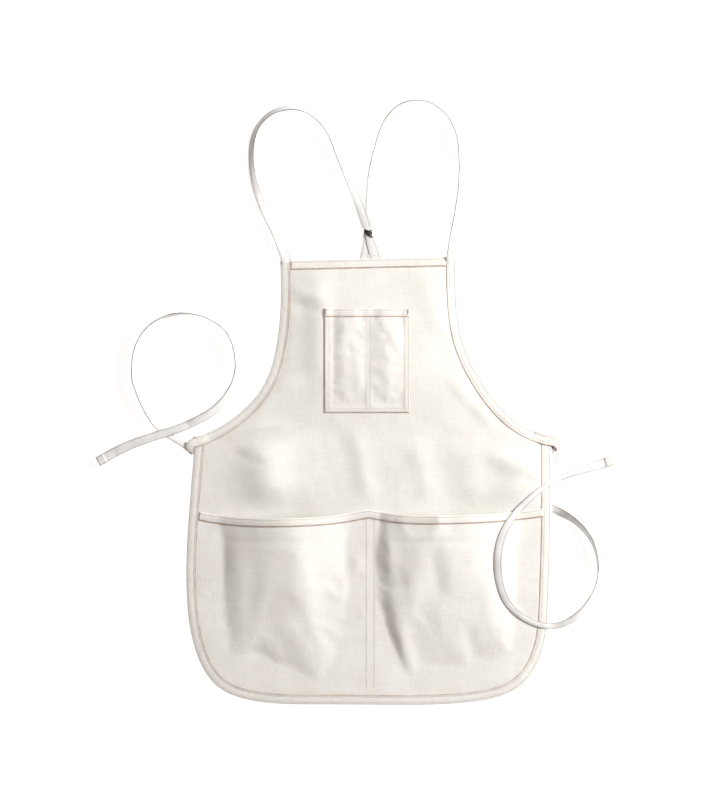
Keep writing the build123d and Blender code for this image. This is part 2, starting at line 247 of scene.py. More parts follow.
def inside_by(x, y):
    """How far a point is inside the finished edge, negative outside it."""
    a = OUTLINE
    b = np.roll(OUTLINE, -1, axis=0)
    crosses = (a[:, 1] > y) != (b[:, 1] > y)
    climb = np.where(b[:, 1] == a[:, 1], 1, b[:, 1] - a[:, 1])
    crossing_x = (b[:, 0] - a[:, 0]) * (y - a[:, 1]) / climb + a[:, 0]
    within = np.count_nonzero(crosses & (x < crossing_x)) % 2 == 1
    gap = math.sqrt(np.min((a[:, 0] - x) ** 2 + (a[:, 1] - y) ** 2))
    return gap if within else -gap


# ---- the soft surface that raises every sewn layer ------------------------------------------------------
# each fold: start, end, half width, height
FOLDS = [
    ((-0.115, 0.245), (-0.066, 0.234), 0.0080, -0.0009),
    ((-0.110, 0.262), (-0.058, 0.250), 0.0090, 0.0016),
    ((-0.078, 0.300), (-0.072, 0.120), 0.0190, 0.0028),
    ((0.072, 0.292), (0.092, 0.205), 0.0160, 0.0014),
    ((0.135, 0.118), (0.186, 0.074), 0.0080, -0.0011),
    ((0.108, 0.138), (0.168, 0.086), 0.0110, 0.0018),
    ((-0.176, 0.096), (-0.096, 0.142), 0.0120, 0.0018),
    ((-0.212, 0.066), (-0.120, 0.078), 0.0110, 0.0017),
    ((-0.158, 0.056), (-0.142, -0.030), 0.0340, 0.0090),
    ((-0.200, 0.040), (-0.150, 0.022), 0.0090, -0.0014),
    ((-0.070, 0.080), (-0.036, -0.022), 0.0160, -0.0010),
    ((-0.026, 0.074), (-0.004, -0.030), 0.0120, 0.0016),
    ((0.176, 0.050), (0.238, 0.034), 0.0120, -0.0010),
    ((0.150, 0.040), (0.226, 0.012), 0.0120, 0.0018),
    ((0.208, 0.007), (0.231, -0.009), 0.0032, -0.0009),
    ((0.060, 0.052), (0.078, -0.028), 0.0150, 0.0018),
    ((0.132, 0.052), (0.140, -0.030), 0.0260, 0.0034),
    ((0.196, 0.060), (0.204, -0.035), 0.0420, 0.0048),
]
EDGE_CALM = 0.020  # folds die away within this distance of the finished edge
DOME_HALF, DOME_HEIGHT = 0.135, 0.0058  # the bib stands up softly in its middle
WAVE_HEIGHT = 0.0007
LEAST_RISE = 0.0006


def beside(x, y, start, end):
    """Distance from a stretch, and the place along it from 0 to 1."""
    dx, dy = end[0] - start[0], end[1] - start[1]
    along = ((x - start[0]) * dx + (y - start[1]) * dy) / (dx * dx + dy * dy)
    near = min(max(along, 0.0), 1.0)
    return math.hypot(x - start[0] - near * dx, y - start[1] - near * dy), along


def fold_height(x, y, folds):
    """Sum of the folds at a point."""
    total = 0.0
    for start, end, half, height in folds:
        gap, along = beside(x, y, start, end)
        if gap < 3 * half:
            taper = smoothstep(along, -0.15, 0.3) * smoothstep(1 - along, -0.15, 0.3)
            total += height * taper * math.exp(-((gap / half) ** 2))
    return total


def rise(x, y):
    """How far the sewn layers stand above their flat level."""
    calm = smoothstep(inside_by(x, y), 0.002, EDGE_CALM)
    across = max(0.0, 1 - (x / DOME_HALF) ** 2)
    dome = DOME_HEIGHT * across * smoothstep(y, 0.06, 0.16) * smoothstep(0.33 - y, 0.0, 0.12)
    waves = WAVE_HEIGHT * (noise.noise((x * 11, y * 9, 3.1)) + 0.6 * noise.noise((x * 26, y * 21, 7.7)))
    edge_wave = WAVE_HEIGHT * max(0.0, noise.noise((x * 17, y * 17, 1.4)))
    inner = dome + fold_height(x, y, FOLDS) + waves + LEAST_RISE
    return max(0.0, calm * inner + edge_wave)


# ---- materials ------------------------------------------------------------------------------------------
class Shader:
    """A small helper that adds nodes to a material and links them."""

    def __init__(self, name):
        self.material = bpy.data.materials.new(name)
        self.material.use_nodes = True
        self.tree = self.material.node_tree
        self.surface = self.tree.nodes["Principled BSDF"]

    def node(self, kind, settings=None, **inputs):
        made = self.tree.nodes.new(kind)
        for key, value in (settings or {}).items():
            setattr(made, key, value)
        for key, value in inputs.items():
            self.feed(made, key.replace("_", " "), value)
        return made

    def feed(self, node, key, value):
        socket = node.inputs[int(key) if key.isdigit() else key]
        if isinstance(value, bpy.types.NodeSocket):
            self.tree.links.new(value, socket)
        else:
            socket.default_value = value

    def numbered(self, kind, settings, values):
        """A node whose inputs are given by number."""
        made = self.node(kind, settings)
        for number, value in values.items():
            self.feed(made, str(number), value)
        return made

    def math(self, operation, one, two=0.0):
        return self.numbered("ShaderNodeMath", {"operation": operation}, {0: one, 1: two}).outputs[0]

    def mix(self, factor, one, two):
        return self.numbered("ShaderNodeMix", {"data_type": "RGBA"}, {0: factor, 6: one, 7: two}).outputs[2]

    def ramp(self, value, low, high):
        """0 at low and 1 at high, smooth between."""
        settings = {"interpolation_type": "SMOOTHSTEP"}
        return self.numbered("ShaderNodeMapRange", settings, {0: value, 1: low, 2: high}).outputs[0]

    def noise(self, place, scale, detail=2.0, roughness=0.5):
        inputs = {"Vector": place, "Scale": scale, "Detail": detail, "Roughness": roughness}
        return self.node("ShaderNodeTexNoise", None, **inputs).outputs[0]

    def stretched(self, place, x, y):
        return self.node("ShaderNodeMapping", None, Vector=place, Scale=(x, y, 1.0)).outputs[0]


ECRU = (0.840, 0.820, 0.770, 1)
ECRU_DARK = (0.700, 0.655, 0.590, 1)
ECRU_LIGHT = (0.895, 0.880, 0.838, 1)
TAPE_PALE = (0.855, 0.852, 0.845, 1)
TAPE_LIGHT = (0.895, 0.892, 0.887, 1)
# painted shade colour for the straps: their long edges and stitch rows take it in place of contact shadow and
# the shade in the stitch channels
TAPE_EDGE_SHADE = (0.270, 0.245, 0.210, 1)
SEED = (0.42, 0.28, 0.17, 1)
# painted shade colour: the brown that tinted edges, folds, stitch rows and loop insides take in place of
# their shade
SHADE_BROWN = (0.44, 0.31, 0.22, 1)


def cloth_material(name, pitch, flecks, base, light, weave_depth, shade_colour=SHADE_BROWN):
    """Natural cotton: woven threads, slubs, mottled colour and seed flecks, and painted shade in brown
    wherever the tint attribute is set.
    """
    shader = Shader(name)
    place = shader.node("ShaderNodeUVMap", {"uv_map": "cloth"}).outputs[0]
    warp = shader.stretched(place, 900, 40)
    weft = shader.stretched(place, 34, 800)
    slub_warp = shader.ramp(shader.noise(warp, 1.0, 3.0), 0.45, 0.75)
    slub_weft = shader.ramp(shader.noise(weft, 1.0, 3.0), 0.45, 0.75)
    slubs = shader.math("MULTIPLY", shader.math("ADD", slub_warp, slub_weft), 0.5)
    mottle = shader.noise(shader.stretched(place, 1, 1), 14.0, 4.0, 0.6)
    colour = shader.mix(shader.ramp(mottle, 0.3, 0.7), base, light)
    colour = shader.mix(shader.math("MULTIPLY", slubs, 0.42), colour, ECRU_DARK)
    cells = shader.node("ShaderNodeTexVoronoi", None, Vector=shader.stretched(place, 1, 1.6), Scale=150.0)
    lot = shader.node("ShaderNodeSeparateColor", None, Color=cells.outputs["Color"]).outputs[0]
    chosen = shader.ramp(lot, 1 - flecks, 1 - flecks + 0.01)
    dots = shader.math("SUBTRACT", 1.0, shader.ramp(cells.outputs["Distance"], 0.05, 0.16))
    colour = shader.mix(shader.math("MULTIPLY", shader.math("MULTIPLY", dots, chosen), 0.75), colour, SEED)
    # painted shade: where the tint attribute is set, the colour is pulled patchily towards the shade brown,
    # standing in for shade at edges, folds and stitch rows
    tint = shader.node("ShaderNodeAttribute", {"attribute_name": "tint"}).outputs["Fac"]
    patchy = shader.ramp(shader.noise(shader.stretched(place, 1, 1), 60.0, 2.0), 0.25, 0.75)
    painted_shade = shader.math("MULTIPLY", tint, shader.math("ADD", 0.55, shader.math("MULTIPLY", patchy, 0.45)))
    colour = shader.mix(painted_shade, colour, shade_colour)
    turns = 2 * math.pi / pitch
    apart = shader.node("ShaderNodeSeparateXYZ", None, Vector=place)
    over = shader.math("SINE", shader.math("MULTIPLY", apart.outputs[0], turns))
    under = shader.math("SINE", shader.math("MULTIPLY", apart.outputs[1], turns))
    weave = shader.math("MULTIPLY", over, under)
    height = shader.math("ADD", shader.math("MULTIPLY", weave, 0.5), slubs)
    fine = shader.node("ShaderNodeBump", None, Height=height, Strength=0.55, Distance=weave_depth)
    crumple = shader.noise(shader.stretched(place, 1, 1), 38.0, 4.0, 0.55)
    coarse = shader.node("ShaderNodeBump", None, Height=crumple, Strength=0.5, Distance=0.0011)
    shader.feed(coarse, "Normal", fine.outputs[0])
    shader.feed(shader.surface, "Normal", coarse.outputs[0])
    shader.feed(shader.surface, "Base Color", colour)
    shader.surface.inputs["Roughness"].default_value = 0.92
    shader.surface.inputs["Sheen Weight"].default_value = 0.22
    shader.surface.inputs["Sheen Roughness"].default_value = 0.5
    shader.surface.inputs["Specular IOR Level"].default_value = 0.25
    return shader.material


def thread_material(name, colour, dark, roughness):
    """Twisted sewing thread."""
    shader = Shader(name)
    place = shader.node("ShaderNodeTexCoord").outputs["Object"]
    twist = shader.node("ShaderNodeTexWave", None, Vector=place, Scale=900.0, Distortion=2.0)
    shade = shader.mix(shader.math("MULTIPLY", twist.outputs["Fac"], 0.6), colour, dark)
    bump = shader.node("ShaderNodeBump", None, Height=twist.outputs["Fac"], Strength=0.4, Distance=0.0001)
    shader.feed(shader.surface, "Normal", bump.outputs[0])
    shader.feed(shader.surface, "Base Color", shade)
    shader.surface.inputs["Roughness"].default_value = roughness
    shader.surface.inputs["Sheen Weight"].default_value = 0.15
    return shader.material


CANVAS = cloth_material("canvas", 0.0011, 0.070, ECRU, ECRU_LIGHT, 0.00020)
BINDING = cloth_material("binding_tape", 0.0009, 0.012, ECRU_LIGHT, ECRU_LIGHT, 0.00016)
TAPE = cloth_material("strap_tape", 0.0009, 0.006, TAPE_PALE, TAPE_LIGHT, 0.00016, TAPE_EDGE_SHADE)
NATURAL = thread_material("natural_thread", (0.60, 0.54, 0.46, 1), (0.42, 0.36, 0.28, 1), 0.7)
BROWN = thread_material("brown_thread", (0.42, 0.30, 0.20, 1), (0.26, 0.17, 0.10, 1), 0.7)
BLACK = thread_material("black_thread", (0.012, 0.010, 0.011, 1), (0.004, 0.003, 0.004, 1), 0.45)


# ---- making pieces --------------------------------------------------------------------------------------
def new_piece(name, points, faces, materials, uvs=None, tints=None, face_materials=None):
    """A mesh object with its cloth coordinates, tint and materials."""
    mesh = bpy.data.meshes.new(name)
    mesh.from_pydata([tuple(map(float, p)) for p in points], [], [tuple(f) for f in faces])
    mesh.update()
    piece = bpy.data.objects.new(name, mesh)
    bpy.context.scene.collection.objects.link(piece)
    for material in materials:
        mesh.materials.append(material)
    if uvs is not None:
        layer = mesh.uv_layers.new(name="cloth")
        corners = np.zeros(len(mesh.loops), np.int32)
        mesh.loops.foreach_get("vertex_index", corners)
        layer.data.foreach_set("uv", np.asarray(uvs, np.float32)[corners].ravel())
    if tints is not None:
        mesh.attributes.new("tint", "FLOAT", "POINT").data.foreach_set("value", np.asarray(tints, np.float32))
    if face_materials is not None:
        mesh.polygons.foreach_set("material_index", np.asarray(face_materials, np.int32))
    mesh.polygons.foreach_set("use_smooth", np.full(len(mesh.polygons), True))
    return piece


def raised(points):
    """Points of the flat layers, moved up by the soft surface."""
    return [(p[0], p[1], p[2] + rise(p[0], p[1])) for p in points]


class Surface:
    """Heights of a mesh, read from above."""

    def __init__(self, points, faces):
        self.tree = BVHTree.FromPolygons([tuple(map(float, p)) for p in points], [tuple(f) for f in faces])

    def height(self, x, y, fallback):
        hit = self.tree.ray_cast(Vector((x, y, 1.0)), Vector((0, 0, -1)))[0]
        return fallback if hit is None else hit.z


def surface_of(*pieces):
    """The tops of several mesh objects together."""
    meshes = [piece.data for piece in pieces]
    return Surface(*joined([([v.co for v in m.vertices], [f.vertices for f in m.polygons]) for m in meshes]))


# ---- stitches -------------------------------------------------------------------------------------------
STITCH_PITCH = 0.0034
STITCH_LENGTH = 0.0022
THREAD_R = 0.00033
# rings of a stitch: share of its length, height, share of the thread's radius
STITCH_RINGS = [(0.0, -0.00028, 0.6), (0.25, 0.00008, 1.0), (0.75, 0.00008, 1.0), (1.0, -0.00028, 0.6)]
STITCH_SIDES = 6


def stitch_row(line, ups, fatness=1.0):
    """Single stitches along a line in space: (points, faces)."""
    line = np.asarray(line, float)
    ups = np.asarray(ups, float)
    along = distances(line)
    points, faces = [], []
    count = int(along[-1] / STITCH_PITCH)
    for number in range(count):
        start = (number + 0.15) * STITCH_PITCH
        base = len(points)
        ahead = None
        for share, height, size in STITCH_RINGS:
            at = start + share * STITCH_LENGTH
            centre = np.array([np.interp(at, along, line[:, k]) for k in range(3)])
            up = np.array([np.interp(at, along, ups[:, k]) for k in range(3)])
            up /= np.linalg.norm(up)
            if ahead is None:
                later = np.array([np.interp(at + STITCH_LENGTH, along, line[:, k]) for k in range(3)])
                ahead = later - centre
                ahead /= max(np.linalg.norm(ahead), 1e-9)
            side = np.cross(ahead, up)
            centre = centre + up * height
            for k in range(STITCH_SIDES):
                angle = 2 * math.pi * k / STITCH_SIDES
                spoke = side * math.cos(angle) + up * math.sin(angle)
                points.append(centre + spoke * THREAD_R * size * fatness)
        faces.extend(tuple(base + i for i in face) for face in skin(len(STITCH_RINGS), STITCH_SIDES))
    return points, faces


def stitch_piece(name, lines, replaced, material, fatness=1.0):
    """Rows of stitches that lie on the sewn layers. Each line is a list of flat-layer points."""
    rows = []
    for line in lines:
        line = np.array(raised(line))
        rows.append(stitch_row(line, np.tile((0.0, 0.0, 1.0), (len(line), 1)), fatness))
    points, faces = joined(rows)
    piece = new_piece(name, points, faces, [material])
    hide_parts(replaced)
    return piece


# ---- folded bands: bindings and hems --------------------------------------------------------------------
OUTER_ROW = 0.20  # each row of stitching, as a share of a band's width
BINDING_ROW = 0.74
HEM_ROW = 0.88
PUCKER = 0.35  # how uneven a band is along its rows, as a share of a ply
UNEVEN = 0.025  # and across, as a share of its width
INNER_EDGE_SHADE, FOLD_SHADE = 0.9, 0.2  # painted shade: tints that darken a band's inner edge and its fold, where these fall into shade


def section(inner_row):
    """Points round a folded band: depth as a share of the width, share between the lower and the upper layer,
    then plies off that layer. The outside comes first, and then the way back through the inside."""
    return [
        (0.97, 0.0, -1.0), (0.62, 0.0, -1.0), (0.30, 0.0, -1.0), (0.10, 0.0, -0.95), (0.03, 0.12, -0.7),
        (0.0, 0.5, 0.0), (0.03, 0.88, 0.7), (0.10, 1.0, 0.95), (OUTER_ROW - 0.05, 1.0, 1.02),
        (OUTER_ROW, 1.0, 0.70), (OUTER_ROW + 0.05, 1.0, 1.05), (0.35, 1.0, 1.22), (0.50, 1.0, 1.28),
        (0.62, 1.0, 1.20), (inner_row - 0.055, 1.0, 1.05), (inner_row, 1.0, 0.66),
        (inner_row + 0.05, 1.0, 1.02), (0.965, 1.0, 1.08), (0.99, 1.0, 0.95), (1.0, 1.0, 0.5),
        (0.985, 1.0, 0.05), (0.60, 1.0, 0.05), (0.16, 1.0, 0.05), (0.09, 0.6, 0.0), (0.09, 0.4, 0.0),
        (0.16, 0.0, -0.05), (0.60, 0.0, -0.05), (0.97, 0.0, -0.05),
    ]


def band(name, line, width, under, over, material, seed, inner_row=HEM_ROW, row_shade=0.8):
    """A strip of cloth folded over an edge. `line` runs along the fold with the cloth on its left."""
    inward = left_of(line)
    along = distances(line)
    points, uvs, tints = [], [], []
    shape = section(inner_row)
    for i, (edge, way) in enumerate(zip(line, inward)):
        broad = width * (1 + UNEVEN * noise.noise((along[i] * 16, seed, 0.0)))
        for depth, share, plies in shape:
            x, y = edge + way * broad * depth
            low, high = under(x, y), over(x, y)
            pucker = PUCKER * noise.noise((along[i] * 150, depth * 2.2, seed + 5))
            offset = plies * PLY * (1 + (pucker if 0.2 < depth < 0.95 and plies > 0.5 else 0.0))
            points.append((x, y, low + (high - low) * share + offset))
            uvs.append((along[i], depth * width))
            # painted shade: the band's inner edge, its rows of stitching and its fold are darkened as if in
            # shade
            shaded_edge = share == 1.0 and plies > 0.4 and depth > min(inner_row + 0.07, 0.92)
            row = share == 1.0 and plies < 0.8 and depth in (OUTER_ROW, inner_row)
            tints.append(INNER_EDGE_SHADE if shaded_edge else row_shade if row else FOLD_SHADE if depth < 0.05 else 0.0)
    faces = skin(len(line), len(shape), flipped=True)
    return new_piece(name, raised(points), faces, [material], uvs, tints)


def along_band(line, width, depth, over, plies=0.75):
    """A line on top of a band, for its stitches."""
    inward = left_of(line)
    flat = line + inward * width * depth
    return [(x, y, over(x, y) + plies * PLY + THREAD_R * 0.4) for x, y in flat]


# ---- cloth simulation -----------------------------------------------------------------------------------
def sheet_grid(columns, rows, place, keep):
    """A grid of flat points. place(i, j) gives a point, keep(x, y) says whether a cell's middle stays."""
    places = [[place(i, j) for j in range(rows)] for i in range(columns)]
    used, points, faces = {}, [], []

    def index(i, j):
        if (i, j) not in used:
            used[(i, j)] = len(points)
            points.append(places[i][j])
        return used[(i, j)]

    for i in range(columns - 1):
        for j in range(rows - 1):
            corners = [(i, j), (i + 1, j), (i + 1, j + 1), (i, j + 1)]
            middle = np.mean([places[a][b] for a, b in corners], axis=0)
            if keep(middle[0], middle[1]):
                faces.append(tuple(index(a, b) for a, b in corners))
    return np.array(points, float), faces


# how the canvas behaves in the cloth simulation
SETTLING = {
    "vertex_group_mass": "pinned",
    "quality": 7,
    "mass": 0.12,
    "tension_stiffness": 30,
    "compression_stiffness": 30,
    "shear_stiffness": 12,
    "bending_stiffness": 1.2,
    "tension_damping": 20,
    "compression_damping": 20,
    "shear_damping": 12,
    "use_pressure": True,
}


def settle(points, faces, pinned, growth, pressure, frames, cap):
    """Cloth that is a little too big for its seams, let go with air under it.

    No point moves further than cap.
    """
    mesh = bpy.data.meshes.new("settling")
    mesh.from_pydata([tuple(p) for p in points], [], faces)
    piece = bpy.data.objects.new("settling", mesh)
    bpy.context.scene.collection.objects.link(piece)
    group = piece.vertex_groups.new(name="pinned")
    group.add([int(i) for i in pinned], 1.0, "REPLACE")
    cloth = piece.modifiers.new("cloth", "CLOTH")
    for setting, value in SETTLING.items():
        setattr(cloth.settings, setting, value)
    cloth.settings.shrink_min = -growth
    cloth.settings.uniform_pressure_force = pressure
    cloth.settings.effector_weights.gravity = 0
    cloth.collision_settings.use_collision = False
    cloth.point_cache.frame_end = frames
    for number in range(1, frames + 1):
        bpy.context.scene.frame_set(number)
    shown = piece.evaluated_get(bpy.context.evaluated_depsgraph_get())
    settled = np.zeros(len(points) * 3)
    shown.data.vertices.foreach_get("co", settled)
    settled = settled.reshape(-1, 3)
    bpy.data.objects.remove(piece)
    bpy.context.scene.frame_set(1)
    move = settled - points
    length = np.linalg.norm(move, axis=1)
    move *= (cap * np.tanh(length / cap) / np.maximum(length, 1e-9))[:, None]
    return points + move


def cloth_piece(name, points, faces, flat, tints=None):
    """A sheet of canvas: its upper side is at the points, its thickness hangs below."""
    a, b, c = (points[i] for i in faces[0][:3])
    if (b[0] - a[0]) * (c[1] - a[1]) < (b[1] - a[1]) * (c[0] - a[0]):
        faces = [face[::-1] for face in faces]
    piece = new_piece(name, raised(points), faces, [CANVAS], flat, tints)
    smoother = piece.modifiers.new("smoother", "SUBSURF")
    smoother.levels = smoother.render_levels = 1
    smoother.boundary_smooth = "PRESERVE_CORNERS"
    solid = piece.modifiers.new("thickness", "SOLIDIFY")
    solid.thickness = CANVAS_T
    solid.offset = -1
    return piece


# ---- the body canvas ------------------------------------------------------------------------------------
UNDER_TAPE = 0.0035  # the canvas mesh ends this far inside the finished edge, hidden in the binding


def under_tape(x, y):
    """Whether a cell with its middle here is far enough inside the edge."""
    return inside_by(x, y) > UNDER_TAPE + CELL / 2


def body_canvas():
    """One canvas over the skirt and the bib."""
    points, faces = sheet_grid(
        len(GRID_X), len(GRID_Y), lambda i, j: (GRID_X[i], GRID_Y[j], CANVAS_TOP), under_tape
    )
    piece = cloth_piece("body_canvas", points, faces, points[:, :2])
    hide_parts("skirt_panel", "bib_panel")
    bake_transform(piece)
    return piece


# ---- lower pockets --------------------------------------------------------------------------------------
MOUTH_LOWEST, MOUTH_HALF = -0.0545, 0.246  # the pocket's mouth is above and within these
POCKET_ROWS = 64
POCKET_DIP = 0.011  # its folds dip no lower than this below the frame's pocket
FOLD_LIFT = 0.004  # and stand no higher than this above the settled cloth
SEWN_SLOPE = 1.2  # the cloth comes up from the binding no steeper than this


def pocket_mouth():
    """The pocket's upper edge, from left to right."""
    rim = upper_rim("lower_pocket_panel")
    rim = rim[(rim[:, 1] > MOUTH_LOWEST) & (np.abs(rim[:, 0]) < MOUTH_HALF)]
    return soften(resample(rim[np.argsort(rim[:, 0])], 0.0025), 4)


MOUTH = pocket_mouth()
POCKET_SHAPE = surface_of(NODES["lower_pocket_panel"])
DIVIDER_LOW, DIVIDER_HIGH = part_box("pocket_divider_stitching")
FOOT_Y = DIVIDER_LOW.y
THREAD_HALF = 0.0004  # half the thickness of the frame's rows of thread
DIVIDER = (DIVIDER_LOW.x + THREAD_HALF, DIVIDER_HIGH.x - THREAD_HALF)
# folds of the pocket cloth itself: start, end, half width, height
POCKET_FOLDS = [
    ((0.006, -0.170), (0.042, -0.292), 0.0100, -0.0026),
    ((0.020, -0.070), (0.032, -0.190), 0.0110, 0.0016),
    ((0.032, -0.190), (0.062, -0.290), 0.0110, 0.0020),
    ((0.080, -0.085), (0.094, -0.170), 0.0130, -0.0016),
    ((0.020, -0.262), (0.034, -0.298), 0.0050, -0.0016),
    ((0.060, -0.268), (0.094, -0.293), 0.0060, -0.0016),
    ((0.076, -0.262), (0.108, -0.288), 0.0055, 0.0014),
    ((-0.226, -0.085), (-0.050, -0.086), 0.0050, -0.0007),
    ((0.030, -0.084), (0.210, -0.087), 0.0050, -0.0007),
    ((-0.180, -0.235), (-0.110, -0.292), 0.0160, -0.0030),
    ((-0.150, -0.262), (-0.142, -0.296), 0.0050, -0.0014),
    ((-0.120, -0.190), (-0.070, -0.288), 0.0180, 0.0026),
    ((-0.212, -0.070), (-0.222, -0.230), 0.0120, -0.0022),
    ((-0.190, -0.075), (-0.180, -0.240), 0.0160, 0.0020),
    ((-0.095, -0.075), (-0.110, -0.180), 0.0200, 0.0018),
    ((-0.040, -0.070), (-0.022, -0.270), 0.0090, -0.0018),
    ((0.160, -0.120), (0.186, -0.250), 0.0180, 0.0024),
    ((0.206, -0.080), (0.214, -0.230), 0.0110, -0.0018),
    ((0.130, -0.200), (0.150, -0.286), 0.0100, -0.0018),
]


# right of the divider the pocket rises from this slanting line, (y, x), and sooner than in the frame
RISE_LINE = np.array([(-0.300, 0.034), (-0.250, 0.022), (-0.200, 0.012), (-0.150, 0.0035), (-0.055, 0.0012)])
RISE_LEAD = 0.020


def frame_x(x, y):
    """Where the frame's pocket has the height that the cloth has at x."""
    if x < DIVIDER[1]:
        return x
    start = float(np.interp(y, RISE_LINE[:, 0], RISE_LINE[:, 1]))
    return x + RISE_LEAD * smoothstep(x - start, -0.006, 0.022) * (1 - smoothstep(x, 0.030, 0.120))


def mouth_y(x):
    """Height of the pocket's mouth on the apron."""
    return float(np.interp(x, MOUTH[:, 0], MOUTH[:, 1]))


def lower_pocket():
    """The pocket panel. It settles between its seams, and then takes its long folds."""
    points, faces = sheet_grid(
        len(GRID_X), POCKET_ROWS, lambda i, j: (GRID_X[i], mouth_y(GRID_X[i]) - j * CELL, 0.0), under_tape
    )
    flat = points[:, :2].copy()
    depth = np.array([inside_by(x, y) for x, y in flat])
    for i, (x, y) in enumerate(flat):
        there = frame_x(x, y)
        points[i, 2] = POCKET_SHAPE.height(there, min(y, mouth_y(there)) - 5e-4, POCKET_TOP)
    low = np.array([max(POCKET_TOP, z - POCKET_DIP) for z in points[:, 2]])
    at_divider = (flat[:, 0] > DIVIDER[0] - 0.003) & (flat[:, 0] < DIVIDER[1] + 0.003)
    pinned = np.nonzero((depth < BINDING_W + 0.002) | at_divider)[0]
    points = settle(points, faces, pinned, growth=0.004, pressure=0.5, frames=20, cap=0.0030)
    ceiling = points[:, 2] + FOLD_LIFT
    for i, (x, y) in enumerate(flat):
        share = smoothstep(depth[i], BINDING_W, BINDING_W + 0.030)
        share *= smoothstep(min(abs(x - DIVIDER[0]), abs(x - DIVIDER[1])), 0.0, 0.008)
        points[i, 2] = max(points[i, 2] + share * fold_height(x, y, POCKET_FOLDS), low[i])
        sewn_down = POCKET_TOP + max(0.0, depth[i] - BINDING_W + 0.001) * SEWN_SLOPE
        points[i, 2] = min(points[i, 2], ceiling[i], sewn_down)
    piece = cloth_piece("lower_pocket_cloth", points, faces, flat)
    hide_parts("lower_pocket_panel")
    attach(piece, "skirt")
    return piece, Surface(points, faces)


# ---- chest pocket ---------------------------------------------------------------------------------------
CHEST_LOW, CHEST_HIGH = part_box("chest_pocket")
CHEST_SHAPE = surface_of(NODES["chest_pocket"])
TURNED = 0.008  # the pocket's sides and foot are turned under by this much
CHEST_SLACK = 0.20  # empty, it stands open by this share of its full height
CHEST_CELL = 0.0025
CHEST_DIVIDER = (-0.0105, -0.0025)  # the pocket is sewn down between these
CHEST_FOLDS = [
    ((-0.0545, 0.236), (-0.0555, 0.110), 0.0040, -0.0006),
    ((-0.0420, 0.232), (-0.0420, 0.120), 0.0075, 0.0009),
    ((0.0030, 0.224), (0.0350, 0.166), 0.0055, -0.0004),
    ((0.0120, 0.226), (0.0420, 0.176), 0.0060, 0.0004),
    ((-0.0250, 0.190), (-0.0180, 0.120), 0.0060, 0.0005),
    ((0.0240, 0.150), (0.0180, 0.108), 0.0060, 0.0005),
]


def chest_pocket():
    """The chest pocket: a pen slot on the left and a wider pocket on the right."""
    columns = int(round((CHEST_HIGH.x - CHEST_LOW.x) / CHEST_CELL)) + 1
    rows = int(round((CHEST_HIGH.y - CHEST_LOW.y) / CHEST_CELL)) + 1
    xs = np.linspace(CHEST_LOW.x, CHEST_HIGH.x, columns)
    ys = np.linspace(CHEST_HIGH.y, CHEST_LOW.y, rows)
    points, faces = sheet_grid(columns, rows, lambda i, j: (xs[i], ys[j], 0.0), lambda x, y: True)
    flat = points[:, :2].copy()
    side = np.minimum(flat[:, 0] - CHEST_LOW.x, CHEST_HIGH.x - flat[:, 0])
    depth = np.minimum(side, flat[:, 1] - CHEST_LOW.y)
    for i, (x, y) in enumerate(flat):
        inner_x = min(max(x, CHEST_LOW.x + NUDGE), CHEST_HIGH.x - NUDGE)
        inner_y = min(max(y, CHEST_LOW.y + NUDGE), CHEST_HIGH.y - NUDGE)
        full = CHEST_SHAPE.height(inner_x, inner_y, POCKET_TOP)
        points[i, 2] = POCKET_TOP + CHEST_SLACK * (full - POCKET_TOP)
    start = points[:, 2].copy()
    at_divider = (flat[:, 0] > CHEST_DIVIDER[0]) & (flat[:, 0] < CHEST_DIVIDER[1])
    pinned = np.nonzero((depth < TURNED) | at_divider)[0]
    points = settle(points, faces, pinned, growth=0.0025, pressure=0.4, frames=16, cap=0.0007)
    for i, (x, y) in enumerate(flat):
        share = smoothstep(depth[i], 0.004, 0.014)
        turned = 0.00012 * (1 - smoothstep(depth[i], TURNED - 0.0012, TURNED + 0.0012))
        rolled = -0.0004 * (1 - smoothstep(depth[i], 0.0, 0.0012))
        fold = share * fold_height(x, y, CHEST_FOLDS)
        floor = min(start[i], POCKET_TOP + 0.004) - 0.0004
        points[i, 2] = max(points[i, 2] + fold, floor) + turned + rolled
    # painted shade: a dark rim along the pocket's turned edges, where it stands off the bib
    tints = [0.75 * (1 - smoothstep(d, 0.0, 0.0014)) for d in depth]
    piece = cloth_piece("chest_pocket_cloth", points, faces, flat, tints)
    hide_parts("chest_pocket")
    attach(piece, "bib")
    return piece, Surface(points, faces)


body = body_canvas()
pocket, pocket_surface = lower_pocket()
chest, chest_surface = chest_pocket()


# ---- bindings -------------------------------------------------------------------------------------------
def layers_over(x, y):
    """Top of the cloth inside the edge binding: one layer above the pocket's mouth and two below it."""
    below = smoothstep(mouth_y(x) + 0.007 - y, 0.0, 0.010)
    return CANVAS_TOP + (POCKET_TOP - CANVAS_TOP) * below


def canvas_under(x, y):
    return CANVAS_LOW


def canvas_over(x, y):
    return CANVAS_TOP


WAIST_HALF = 0.2475  # half of the apron's width at the waist
LAP_Y = 0.095  # the armhole tape laps the edge binding below this
LAP_HEIGHT = 0.0013


def armhole_over(x, y):
    """The armhole tape climbs over the end of the edge binding."""
    inner = WAIST_HALF - BINDING_W
    lap = smoothstep(abs(x), inner - 0.006, inner + 0.004) * smoothstep(LAP_Y - y, 0, 0.01)
    return CANVAS_TOP + LAP_HEIGHT * lap


def make_binding(part, tape_name, edge, over, seed):
    """One binding and its two rows of stitching."""
    line = EDGES[edge]
    tape = band(tape_name, line, BINDING_W, canvas_under, over, BINDING, seed, BINDING_ROW, 0.40)
    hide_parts(f"{part}_binding")
    rows = [along_band(line[2:-2], BINDING_W, depth, over) for depth in (OUTER_ROW, BINDING_ROW)]
    return tape, stitch_piece(f"{part}_stitches", rows, f"{part}_stitching", NATURAL)


